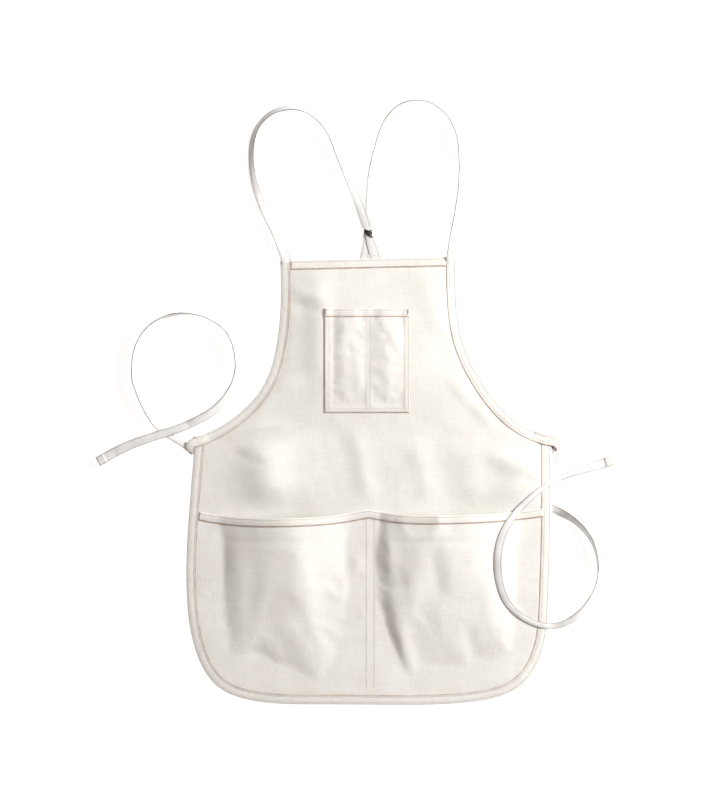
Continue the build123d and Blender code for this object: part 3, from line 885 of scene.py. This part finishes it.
edge_tape, edge_sewn = make_binding("edge", "edge_binding_tape", "skirt", layers_over, 1.0)
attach(edge_tape, "skirt")
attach(edge_sewn, "skirt")
armhole_tapes = {}
for side, seed in (("left", 2.0), ("right", 3.0)):
    made = make_binding(f"{side}_armhole", f"{side}_armhole_tape", f"armhole_{side}", armhole_over, seed)
    armhole_tapes[side] = made[0]
    for piece in made:
        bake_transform(piece)


# ---- hems -----------------------------------------------------------------------------------------------
HEM_THREAD = 1.6  # the brown rows are sewn with a thread this much fatter


def pocket_over(x, y):
    """Top of the lower pocket's cloth."""
    return pocket_surface.height(x, min(y, mouth_y(x) - 0.0006), POCKET_TOP)


def chest_over(x, y):
    """Top of the chest pocket's cloth."""
    inner_x = min(max(x, CHEST_LOW.x + 0.0005), CHEST_HIGH.x - 0.0005)
    return chest_surface.height(inner_x, min(y, CHEST_HIGH.y - 0.0005), POCKET_TOP)


def make_hem(part, name, replaced, rider, line, width, over, seed, sewn, material, fatness=1.0):
    """A turned edge and its row of stitching, which runs along `sewn`."""
    hem = band(name, line, width, lambda x, y: over(x, y) - CANVAS_T, over, CANVAS, seed)
    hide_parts(replaced)
    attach(hem, rider)
    row = along_band(sewn, width, HEM_ROW, over)
    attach(stitch_piece(f"{part}_hem_stitches", [row], f"{part}_hem_stitching", material, fatness), rider)
    return hem


bib_top = trimmed(EDGES["bib_top"], BINDING_W - 0.001, BINDING_W - 0.001)
make_hem("bib", "bib_hem", "bib_top_hem", "bib", bib_top, BIB_HEM_W,
         canvas_over, 4.0, bib_top, BROWN, HEM_THREAD)
mouth_line = np.array([p for p in MOUTH[::-1] if inside_by(*p) > BINDING_W - 0.003])
pocket_hem = make_hem("pocket", "lower_pocket_hem_band", "lower_pocket_hem", "skirt", mouth_line, HEM_W,
                      pocket_over, 5.0, mouth_line, BROWN, HEM_THREAD)
chest_mouth = resample([(CHEST_HIGH.x, CHEST_HIGH.y), (CHEST_LOW.x, CHEST_HIGH.y)], EDGE_STEP)
make_hem("chest", "chest_pocket_hem_band", "chest_pocket_hem", "bib", chest_mouth, HEM_W,
         chest_over, 6.0, trimmed(chest_mouth, 0.001, 0.001), NATURAL)


def on_surface(start, end, over):
    """A straight row of stitching on a surface."""
    line = resample([start, end], 0.003)
    return [(x, y, over(x, y) + THREAD_R * 0.6) for x, y in line]


ROW_TOP = CHEST_HIGH.y - HEM_W - 0.0005
ROW_FOOT = CHEST_LOW.y + 0.0018
ROW_LEFT = CHEST_LOW.x + 0.0016
ROW_RIGHT = CHEST_HIGH.x - 0.0016
CHEST_XS = [ROW_LEFT, CHEST_LOW.x + 0.0076, -0.0092, -0.0038, CHEST_HIGH.x - 0.007, ROW_RIGHT]
chest_rows = [on_surface((x, ROW_TOP), (x, ROW_FOOT), chest_over) for x in CHEST_XS]
for y in (ROW_FOOT, ROW_FOOT + 0.0045):
    chest_rows.append(on_surface((ROW_LEFT, y), (ROW_RIGHT, y), chest_over))
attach(stitch_piece("chest_pocket_stitches", chest_rows, "chest_pocket_stitching", NATURAL, 0.6), "bib")
divider_rows = [on_surface((x, mouth_y(x) - 0.001), (x, FOOT_Y), pocket_over) for x in DIVIDER]
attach(stitch_piece("divider_stitches", divider_rows, "pocket_divider_stitching", NATURAL, 0.8), "skirt")


def bar_tacks():
    """Dense zigzags of thread at the chest pocket's top corners."""
    rows = []
    for centre in (CHEST_LOW.x + 0.0022, CHEST_HIGH.x - 0.0022):
        line = []
        for turn in range(22):
            y = CHEST_HIGH.y - 0.001 - turn * 0.00034
            x = centre + (0.0013 if turn % 2 else -0.0013)
            line.append((x, y, chest_over(x, y) + PLY + THREAD_R * 1.2))
        rows.append(line)
    return stitch_piece("bar_tack_threads", rows, "bar_tacks", NATURAL)


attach(bar_tacks(), "bib")


# ---- straps and ties ------------------------------------------------------------------------------------
# Each point of a route: x, y, height of the tape's middle where it lies flat, its roll in degrees, and its
# width where that isn't STRAP_W, because the tape creases lengthwise where it is pulled.
LOW = 0.0005
LEFT_NECK = [
    (-0.1195, 0.3000, 0.0017, 0),
    (-0.1220, 0.3125, 0.0012, 14),
    (-0.1335, 0.3420, LOW, 44),
    (-0.1560, 0.3840, LOW, 10, 0.0105),
    (-0.1700, 0.4320, LOW, -22, 0.0080),
    (-0.1680, 0.4820, LOW, -46, 0.0090),
    (-0.1420, 0.5140, LOW, -46, 0.0100),
    (-0.1010, 0.5200, LOW, -58),
    (-0.0650, 0.4950, LOW, -66),
    (-0.0460, 0.4500, LOW, -58),
    (-0.0260, 0.4020, 0.00205, -8, 0.0105),
    (-0.0100, 0.3570, 0.00205, 10, 0.0125),
    (-0.0045, 0.3370, 0.00205, 0),
]
RIGHT_NECK = [
    (0.1075, 0.3000, 0.0017, 0),
    (0.1095, 0.3125, 0.0012, 14),
    (0.1120, 0.3460, LOW, 62),
    (0.1200, 0.3960, LOW, 72),
    (0.1240, 0.4520, LOW, 74),
    (0.1130, 0.4980, LOW, 78),
    (0.0830, 0.5270, LOW, 80),
    (0.0440, 0.5300, LOW, 84),
    (0.0160, 0.5020, LOW, 98),
    (0.0010, 0.4560, LOW, 114, 0.0120),
    (-0.0050, 0.4100, LOW, 152, 0.0080),
    (-0.0070, 0.3660, 0.0011, 176, 0.0095),
    (-0.0090, 0.3370, 0.0011, 180),
]
LEFT_BACK = [
    (-0.0045, 0.3370, 0.00205, 0),
    (-0.0005, 0.3227, 0.00205, 0),
    (0.0045, 0.3060, LOW, 0),
    (0.0170, 0.2850, LOW, 0),
    (0.0470, 0.2470, LOW, 0),
    (0.0860, 0.2000, LOW, 0),
    (0.1210, 0.1490, LOW, 0),
    (0.1520, 0.1040, LOW, 0),
    (0.1840, 0.0800, LOW, 0),
    (0.2380, 0.0575, LOW, 0),
]
RIGHT_BACK = [
    (-0.0090, 0.3370, 0.0011, 0),
    (-0.0105, 0.3210, 0.0011, 0),
    (-0.0125, 0.3040, LOW, 0),
    (-0.0250, 0.2790, LOW, 0),
    (-0.0590, 0.2400, LOW, 0),
    (-0.0920, 0.1920, LOW, 0),
    (-0.1190, 0.1470, LOW, 0),
    (-0.1500, 0.1070, LOW, 0),
    (-0.1800, 0.0820, LOW, 0),
    (-0.2120, 0.0540, LOW, 0),
]
LEFT_TIE = [
    (-0.1880, 0.0750, LOW, 0),
    (-0.2120, 0.0540, LOW, 0, 0.0130),
    (-0.2400, 0.0365, LOW, 0, 0.0095),
    (-0.2560, 0.0450, 0.0007, 10, 0.0085),
    (-0.2720, 0.0560, 0.0007, 14, 0.0080),
    (-0.2970, 0.0700, 0.0007, 20, 0.0085),
    (-0.3190, 0.1040, 0.0009, 72, 0.0130),
    (-0.3370, 0.1470, 0.0009, 77),
    (-0.3260, 0.2010, 0.0009, 66),
    (-0.2870, 0.2320, 0.0009, 84),
    (-0.2380, 0.2320, 0.0009, 100),
    (-0.1960, 0.2050, 0.0009, 100),
    (-0.1860, 0.1530, 0.0009, 100),
    (-0.2080, 0.1040, 0.0009, 124),
    (-0.2560, 0.0760, 0.0054, 176, 0.0120),
    (-0.3120, 0.0590, 0.0064, 184, 0.0125),
    (-0.3500, 0.0450, 0.0058, 182),
    (-0.3820, 0.0260, 0.0050, 190),
]
RIGHT_TIE = [
    (0.2080, 0.0700, LOW, 0),
    (0.2380, 0.0575, LOW, 0, 0.0120),
    (0.2560, 0.0540, 0.0009, 0, 0.0100),
    (0.2545, 0.0360, 0.0009, 0, 0.0100),
    (0.2410, 0.0180, LOW, 0, 0.0120),
    (0.2220, -0.0020, LOW, 0),
    (0.2230, -0.0270, LOW, 0),
    (0.2480, -0.0380, LOW, 0, 0.0110),
    (0.2810, -0.0540, 0.0009, 56, 0.0125),
    (0.3080, -0.0860, 0.0009, 76),
    (0.3150, -0.1350, 0.0009, 92),
    (0.2930, -0.1820, 0.0009, 124),
    (0.2590, -0.2040, 0.0068, 168, 0.0090),
    (0.2210, -0.1990, 0.0074, 188, 0.0070),
    (0.1840, -0.1720, 0.0160, 176, 0.0090),
    (0.1710, -0.1230, 0.0200, 164, 0.0105),
    (0.1770, -0.0750, 0.0210, 164, 0.0105),
    (0.2020, -0.0390, 0.0165, 172, 0.0090),
    (0.2360, -0.0090, 0.0085, 186, 0.0075),
    (0.2620, 0.0050, 0.0075, 172, 0.0075),
    (0.2920, 0.0160, 0.0045, 170, 0.0120),
    (0.3340, 0.0280, 0.0024, 172),
]
STRAP_STEP = 0.0024


def nurbs(points):
    """Points along a NURBS curve of order 3 that starts and ends at its first and last points."""
    curve = bpy.data.curves.new("route", "CURVE")
    curve.dimensions = "3D"
    curve.resolution_u = 24
    spline = curve.splines.new("NURBS")
    spline.points.add(len(points) - 1)
    for made, place in zip(spline.points, points):
        made.co = (*place, 1)
    spline.order_u = 3
    spline.use_endpoint_u = True
    holder = bpy.data.objects.new("route", curve)
    bpy.context.scene.collection.objects.link(holder)
    mesh = bpy.data.meshes.new_from_object(holder)
    line = np.array([v.co for v in mesh.vertices], float)
    bpy.data.objects.remove(holder)
    bpy.data.meshes.remove(mesh)
    return line


def followed(route):
    """Even points along a route, with the tape's roll in radians and its width at each."""
    line = nurbs([p[:3] for p in route])
    carried = nurbs([(math.radians(p[3]), p[4] if len(p) > 4 else STRAP_W, 0) for p in route])
    along = distances(line)
    wanted = np.linspace(0, along[-1], int(round(along[-1] / STRAP_STEP)) + 1)
    even = [np.interp(wanted, along, values) for values in (*line.T, carried[:, 0], carried[:, 1])]
    return np.stack(even[:3], axis=1), even[3], even[4]


TAPE_ROW = 0.72  # a tape's row of stitching, as a share of its half width
# one face of the tape's section: share of the half width, share of the half thickness
TAPE_SIDE = [
    (-1.0, 0.55), (-0.96, 1.0), (-0.82, 1.05), (-TAPE_ROW, 0.72), (-0.62, 1.08), (-0.3, 1.2), (0.0, 1.22),
    (0.3, 1.2), (0.62, 1.08), (TAPE_ROW, 0.72), (0.82, 1.05), (0.96, 1.0), (1.0, 0.45),
]
TAPE_SECTION = TAPE_SIDE + [(0.93, 0.0)] + [(a, -b) for a, b in reversed(TAPE_SIDE)]
TAPE_THREAD = 0.85  # its thread, as a share of the other rows' thread


def tape_frames(line, rolls, side=None):
    """Unit vectors across and off the tape at each point. A tape with no roll lies level, or along `side`."""
    ahead = np.gradient(line, axis=0)
    ahead /= np.linalg.norm(ahead, axis=1)[:, None]
    if side is None:
        level = np.stack([-ahead[:, 1], ahead[:, 0], np.zeros(len(line))], axis=1)
    else:
        level = np.tile(np.asarray(side, float), (len(line), 1))
        level -= np.sum(level * ahead, axis=1)[:, None] * ahead
    level /= np.linalg.norm(level, axis=1)[:, None]
    up = np.cross(ahead, level)
    across = level * np.cos(rolls)[:, None] + up * np.sin(rolls)[:, None]
    off = np.cross(ahead, across)
    return across, off


def tape_geometry(line, rolls, widths, thickness, side=None, shade=None):
    """A sewn tape as [points, faces, cloth coordinates, tints, face materials]."""
    across, off = tape_frames(line, rolls, side)
    along = distances(line)
    thickness = np.broadcast_to(thickness, len(line))
    points, uvs, tints = [], [], []
    for i, centre in enumerate(line):
        for a, b in TAPE_SECTION:
            points.append(centre + across[i] * a * widths[i] / 2 + off[i] * b * thickness[i] / 2)
            uvs.append((along[i], a * STRAP_W / 2))
            # painted shade: the tape's long edges are darkened fully and its stitch rows by half, standing in
            # for contact shadow and stitch-channel shade; `shade` adds more painted shade where given
            edge = 1.0 if abs(a) > 0.9 else 0.5 if abs(a) == TAPE_ROW else 0.0
            tints.append(edge if shade is None else max(edge, shade[i]))
    faces = skin(len(line), len(TAPE_SECTION))
    ribbon = [points, faces, uvs, tints, [0] * len(faces)]
    for face in (1, -1):
        row = line + across * (TAPE_ROW * widths / 2)[:, None] + off * face * (thickness * 0.42)[:, None]
        sew_on(ribbon, row, off * face)
    return ribbon


def sew_on(ribbon, row, ups):
    """Adds a row of stitches to a tape."""
    points, faces, uvs, tints, kinds = ribbon
    more, more_faces = stitch_row(row, ups, TAPE_THREAD)
    base = len(points)
    points.extend(more)
    faces.extend(tuple(base + k for k in face) for face in more_faces)
    uvs.extend([(0.0, 0.0)] * len(more))
    tints.extend([0.0] * len(more))
    kinds.extend([1] * len(more_faces))


def ribbon_piece(name, ribbon, material):
    points, faces, uvs, tints, kinds = ribbon
    return new_piece(name, points, faces, [material, NATURAL], uvs, tints, kinds)


def strap_piece(name, line, rolls, widths, replaced, thickness=STRAP_T):
    """A strap's mesh, in place of a node."""
    piece = ribbon_piece(name, tape_geometry(line, rolls, widths, thickness), TAPE)
    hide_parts(replaced)
    return piece


def limp(rolls, seed):
    """The roll of a limp tape is never quite even."""
    places = np.arange(len(rolls)) * STRAP_STEP
    slow = np.array([noise.noise((s * 22, seed, 0.5)) for s in places])
    fast = np.array([noise.noise((s * 70, seed, 4.5)) for s in places])
    return rolls + (slow * 0.5 + fast * 0.16) * np.sin(np.clip(np.abs(rolls), 0, 1.2)) * 0.6


def stood_up(line, rolls, widths):
    """A rolled tape rests on its lower edge, so its middle is higher."""
    lifted = line.copy()
    lifted[:, 2] += widths / 2 * np.abs(np.sin(rolls))
    return lifted


WRAP_CENTRE = (-0.0065, 0.3435)
BACK_T = 0.0009  # a strap pressed flat behind the bib


def pinched(line, widths, share=0.34, reach=0.011):
    """Tape widths, gathered where the black thread is wound round it."""
    gap = np.linalg.norm(line[:, :2] - np.array(WRAP_CENTRE), axis=1)
    return widths * (1 - share * np.exp(-((gap / reach) ** 2)))


def neck_strap(side, route, seed):
    """A neck strap, from the bib's corner to the crossing."""
    line, rolls, widths = followed(route)
    rolls = limp(rolls, seed)
    widths = pinched(line, widths)
    line = stood_up(line, rolls, widths)
    piece = strap_piece(f"{side}_neck_tape", line, rolls, widths, f"{side}_neck_strap")
    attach(piece, "bib")


def back_strap(side, route, share, reach):
    """The strap behind the bib, from the crossing to the fold line."""
    line, rolls, widths = followed(route)
    kept = line[:, 1] > FOLD_Y
    line, rolls = line[kept], rolls[kept]
    widths = pinched(line, widths[kept], share, reach)
    piece = strap_piece(f"{side}_back_tape", line, rolls, widths, f"{side}_back_strap", BACK_T)
    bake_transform(piece)


neck_strap("left", LEFT_NECK, 11.0)
neck_strap("right", RIGHT_NECK, 12.0)
back_strap("left", LEFT_BACK, 0.24, 0.016)
back_strap("right", RIGHT_BACK, 0.46, 0.034)

END_HEM = 0.012  # the tie's end is folded over by this much and sewn
END_SWELL = 1.25  # how many times as thick it is there
END_EXTRA = 0.0002  # and how much wider
BRIDGE_SLOPE = 0.42  # a limp tape comes down from a height no steeper than this


def draped(line, widths, rolls, surface, start):
    """The line, laid on the apron from `start` on: it follows the cloth and bridges the dips."""
    along = distances(line)
    across = left_of(line[:, :2])
    ground = np.zeros(len(line))
    for i in range(start, len(line)):
        reach = widths[i] / 2 * abs(math.cos(rolls[i]))
        spots = [line[i, :2] + across[i] * reach * share for share in (-1, -0.5, 0, 0.5, 1)]
        ground[i] = max(surface.height(*spot, 0.0) for spot in spots)
    laid = line.copy()
    for i in range(start, len(line)):
        laid[i, 2] = np.max(ground - BRIDGE_SLOPE * np.abs(along - along[i])) + STRAP_T * 0.7
    laid[start - 3 :] = soften(laid[start - 3 :], 10)
    laid[:, :2] = line[:, :2]
    return laid


def tie(side, route, seed, apron=None, laid_from=None):
    """A waist tie and its hemmed end. It shows from where it leaves the loop at the waist."""
    line, rolls, widths = followed(route)
    first = int(np.argmax(line[:, 1] < FOLD_Y))
    line, rolls, widths = line[first:], limp(rolls[first:], seed), widths[first:]
    if apron is not None:
        start = int(np.argmin(np.linalg.norm(line[:, :2] - np.array(laid_from), axis=1)))
        line = draped(line, widths, rolls, apron, start)
    line = stood_up(line, rolls, widths)
    piece = strap_piece(f"{side}_tie_tape", line, rolls, widths, f"{side}_waist_tie")
    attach(piece, "skirt")
    count = int(round(END_HEM / STRAP_STEP)) + 1
    ribbon = tape_geometry(line[-count:], rolls[-count:], widths[-count:] + END_EXTRA, END_SWELL * STRAP_T)
    across, off = (directions[2 - count] for directions in tape_frames(line, rolls))
    for face in (1, -1):
        middle = line[2 - count] + off * face * STRAP_T * 0.62
        reach = across * STRAP_W * 0.42
        row = resample([middle - reach, middle + reach], 0.002)
        sew_on(ribbon, row, np.tile(off * face, (len(row), 1)))
    end = ribbon_piece(f"{side}_tie_hem", ribbon, TAPE)
    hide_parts(f"{side}_tie_end")
    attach(end, "skirt")


apron = surface_of(body, pocket, edge_tape, pocket_hem)
tie("left", LEFT_TIE, 13.0)
tie("right", RIGHT_TIE, 14.0, apron, (0.3080, -0.0860))

# ---- loops at the waist ---------------------------------------------------------------------------------
# each point: x, y, height, width, and how much painted shadow darkens the loop's inside
LEFT_LOOP = [
    (-0.2520, 0.0520, 0.0044, 0.0125, 0.0), (-0.2556, 0.0430, 0.0040, 0.0110, 0.1),
    (-0.2562, 0.0385, 0.0024, 0.0105, 0.7), (-0.2545, 0.0420, 0.0007, 0.0135, 1.0),
    (-0.2500, 0.0500, 0.0007, 0.0150, 1.0), (-0.2430, 0.0585, 0.0007, 0.0120, 1.0),
]
RIGHT_LOOP = [
    (0.2530, 0.0530, 0.0040, 0.0110, 0.0), (0.2572, 0.0482, 0.0036, 0.0085, 0.1),
    (0.2582, 0.0462, 0.0022, 0.0085, 0.8), (0.2560, 0.0465, 0.0007, 0.0120, 1.0),
    (0.2505, 0.0505, 0.0007, 0.0140, 1.0), (0.2430, 0.0570, 0.0007, 0.0120, 1.0),
]
LOOP_STARTS = (0.024, 0.016, 0.008, 0.001)  # the loop lies on the armhole tape from this far before its end
LOOP_RINGS = 46


def waist_loop(side, order, route, level):
    """The armhole tape's end, turned round the strap and back under the corner.

    `order` is 1 where the armhole's line starts at this corner and -1 where it ends there.
    """
    edge = EDGES[f"armhole_{side}"]
    line, inward = edge[::order], left_of(edge)[::order]
    along = distances(line)
    top = surface_of(armhole_tapes[side])
    lead = []
    for gap in LOOP_STARTS:
        i = int(np.argmin(np.abs(along - gap)))
        x, y = line[i] + inward[i] * BINDING_W * 0.5
        lead.append((x, y, top.height(x, y, 0.0036) - 0.0004, BINDING_W - 0.0004, 0.0))
    points = lead + route
    curve = nurbs([p[:3] for p in points])
    widths = nurbs([(p[3], 0, 0) for p in points])[:, 0]
    shade = nurbs([(p[4], 0, 0) for p in points])[:, 0]
    wanted = np.linspace(0, 1, LOOP_RINGS)
    share = distances(curve) / distances(curve)[-1]
    even = [np.interp(wanted, share, values) for values in (*curve.T, widths, shade)]
    curve = np.stack(even[:3], axis=1)
    thickness = 2 * PLY * np.array([0.2 + 0.8 * smoothstep(s, 0.0, 0.35) for s in wanted])
    ribbon = tape_geometry(curve, np.zeros(len(curve)), even[3], thickness, level, even[4])
    piece = ribbon_piece(f"{side}_loop_tape", ribbon, BINDING)
    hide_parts(f"{side}_waist_loop")
    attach(piece, "skirt")


waist_loop("left", -1, LEFT_LOOP, (-0.70, 0.71, 0))
waist_loop("right", 1, RIGHT_LOOP, (0.55, 0.83, 0))

# ---- black thread round the crossing --------------------------------------------------------------------
WRAP_TURNS = 4.5
WRAP_HALF = (0.0052, 0.00165)  # half width and half height of a turn
WRAP_Z = 0.0022
WRAP_THREAD_R = 0.00072
WRAP_SLOPE = 0.42  # the turns lie aslant by this
WRAP_RISE = 0.00115  # one turn lies this far from the next
WRAP_GAP = 0.0012  # the two bands of turns stand this far apart
TURN_STEPS = 28


def tube(line, radius, sides=8):
    """A round thread along a line."""
    ahead = np.gradient(line, axis=0)
    ahead /= np.linalg.norm(ahead, axis=1)[:, None]
    points = []
    spoke = np.cross(ahead[0], (0.0, 1.0, 0.2))
    for i, centre in enumerate(line):
        spoke = spoke - ahead[i] * np.dot(spoke, ahead[i])
        spoke /= np.linalg.norm(spoke)
        other = np.cross(ahead[i], spoke)
        for k in range(sides):
            angle = 2 * math.pi * k / sides
            points.append(centre + radius * (spoke * math.cos(angle) + other * math.sin(angle)))
    return points, skin(len(line), sides)


def crossing_wrap():
    """Two bands of turns that bind the straps together, and a cut end that stands off to the right."""
    line = []
    for number in range(int(WRAP_TURNS * TURN_STEPS) + 1):
        turns = number / TURN_STEPS
        angle = 2 * math.pi * turns
        x = WRAP_HALF[0] * math.cos(angle)
        z = WRAP_Z + WRAP_HALF[1] * math.sin(angle)
        gap = WRAP_GAP * smoothstep(turns, 1.9, 2.4) * (1 + x / WRAP_HALF[0])
        y = 0.0034 - WRAP_RISE * turns - gap - WRAP_SLOPE * x
        line.append((WRAP_CENTRE[0] + x, WRAP_CENTRE[1] + y, z))
    top = np.array((WRAP_CENTRE[0] + 0.0036, WRAP_CENTRE[1] + 0.0026, WRAP_Z + WRAP_HALF[1] + 0.0009))
    stub = [top + (0.0026, 0.0026, 0.0004), top, top - (0.0030, 0.0012, 0.0002)]
    points, faces = joined([tube(np.array(line), WRAP_THREAD_R), tube(nurbs(stub), WRAP_THREAD_R * 1.1)])
    piece = new_piece("crossing_thread", points, faces, [BLACK])
    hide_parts("crossing_wrap")
    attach(piece, "bib")


crossing_wrap()


# ---- floor and light ------------------------------------------------------------------------------------
FLOOR_HALF = 8.0
FLOOR_Z = -0.0003
FLOOR_GLOW = 0.62  # the white sweep is lit from below, so shadows on it stay faint
ROOM_COLOUR = (1.0, 0.91, 0.885, 1)
ROOM_STRENGTH = 0.285


def make_stage():
    """A plain pale floor."""
    corners = [(-1, -1), (1, -1), (1, 1), (-1, 1)]
    mesh = bpy.data.meshes.new("floor")
    mesh.from_pydata([(x * FLOOR_HALF, y * FLOOR_HALF, FLOOR_Z) for x, y in corners], [], [(0, 1, 2, 3)])
    floor = bpy.data.objects.new("floor", mesh)
    bpy.context.scene.collection.objects.link(floor)
    material = bpy.data.materials.new("pale_floor")
    material.use_nodes = True
    surface = material.node_tree.nodes["Principled BSDF"]
    surface.inputs["Base Color"].default_value = (0.90, 0.90, 0.895, 1)
    surface.inputs["Roughness"].default_value = 0.9
    surface.inputs["Emission Color"].default_value = (1, 1, 1, 1)
    surface.inputs["Emission Strength"].default_value = FLOOR_GLOW
    mesh.materials.append(material)


def area_light(name, place, target, size, power, colour):
    data = bpy.data.lights.new(name, "AREA")
    data.shape = "DISK"
    data.size = size
    data.energy = power
    data.color = colour
    light = bpy.data.objects.new(name, data)
    light.location = place
    light.rotation_mode = "QUATERNION"
    light.rotation_quaternion = (Vector(target) - Vector(place)).to_track_quat("-Z", "Y")
    bpy.context.scene.collection.objects.link(light)


def make_light():
    """A broad key from the upper right and an even white room."""
    world = bpy.data.worlds.new("studio")
    world.use_nodes = True
    background = world.node_tree.nodes["Background"]
    background.inputs["Color"].default_value = ROOM_COLOUR
    background.inputs["Strength"].default_value = ROOM_STRENGTH
    bpy.context.scene.world = world
    area_light("key", (2.0, 1.0, 1.15), (0, 0.05, 0), 0.7, 93, (1.0, 1.0, 0.99))
    area_light("fill", (-0.6, -0.8, 2.8), (0, 0.1, 0), 1.8, 10, (1.0, 0.97, 0.95))
    bpy.context.scene.view_settings.view_transform = "Standard"


make_stage()
make_light()
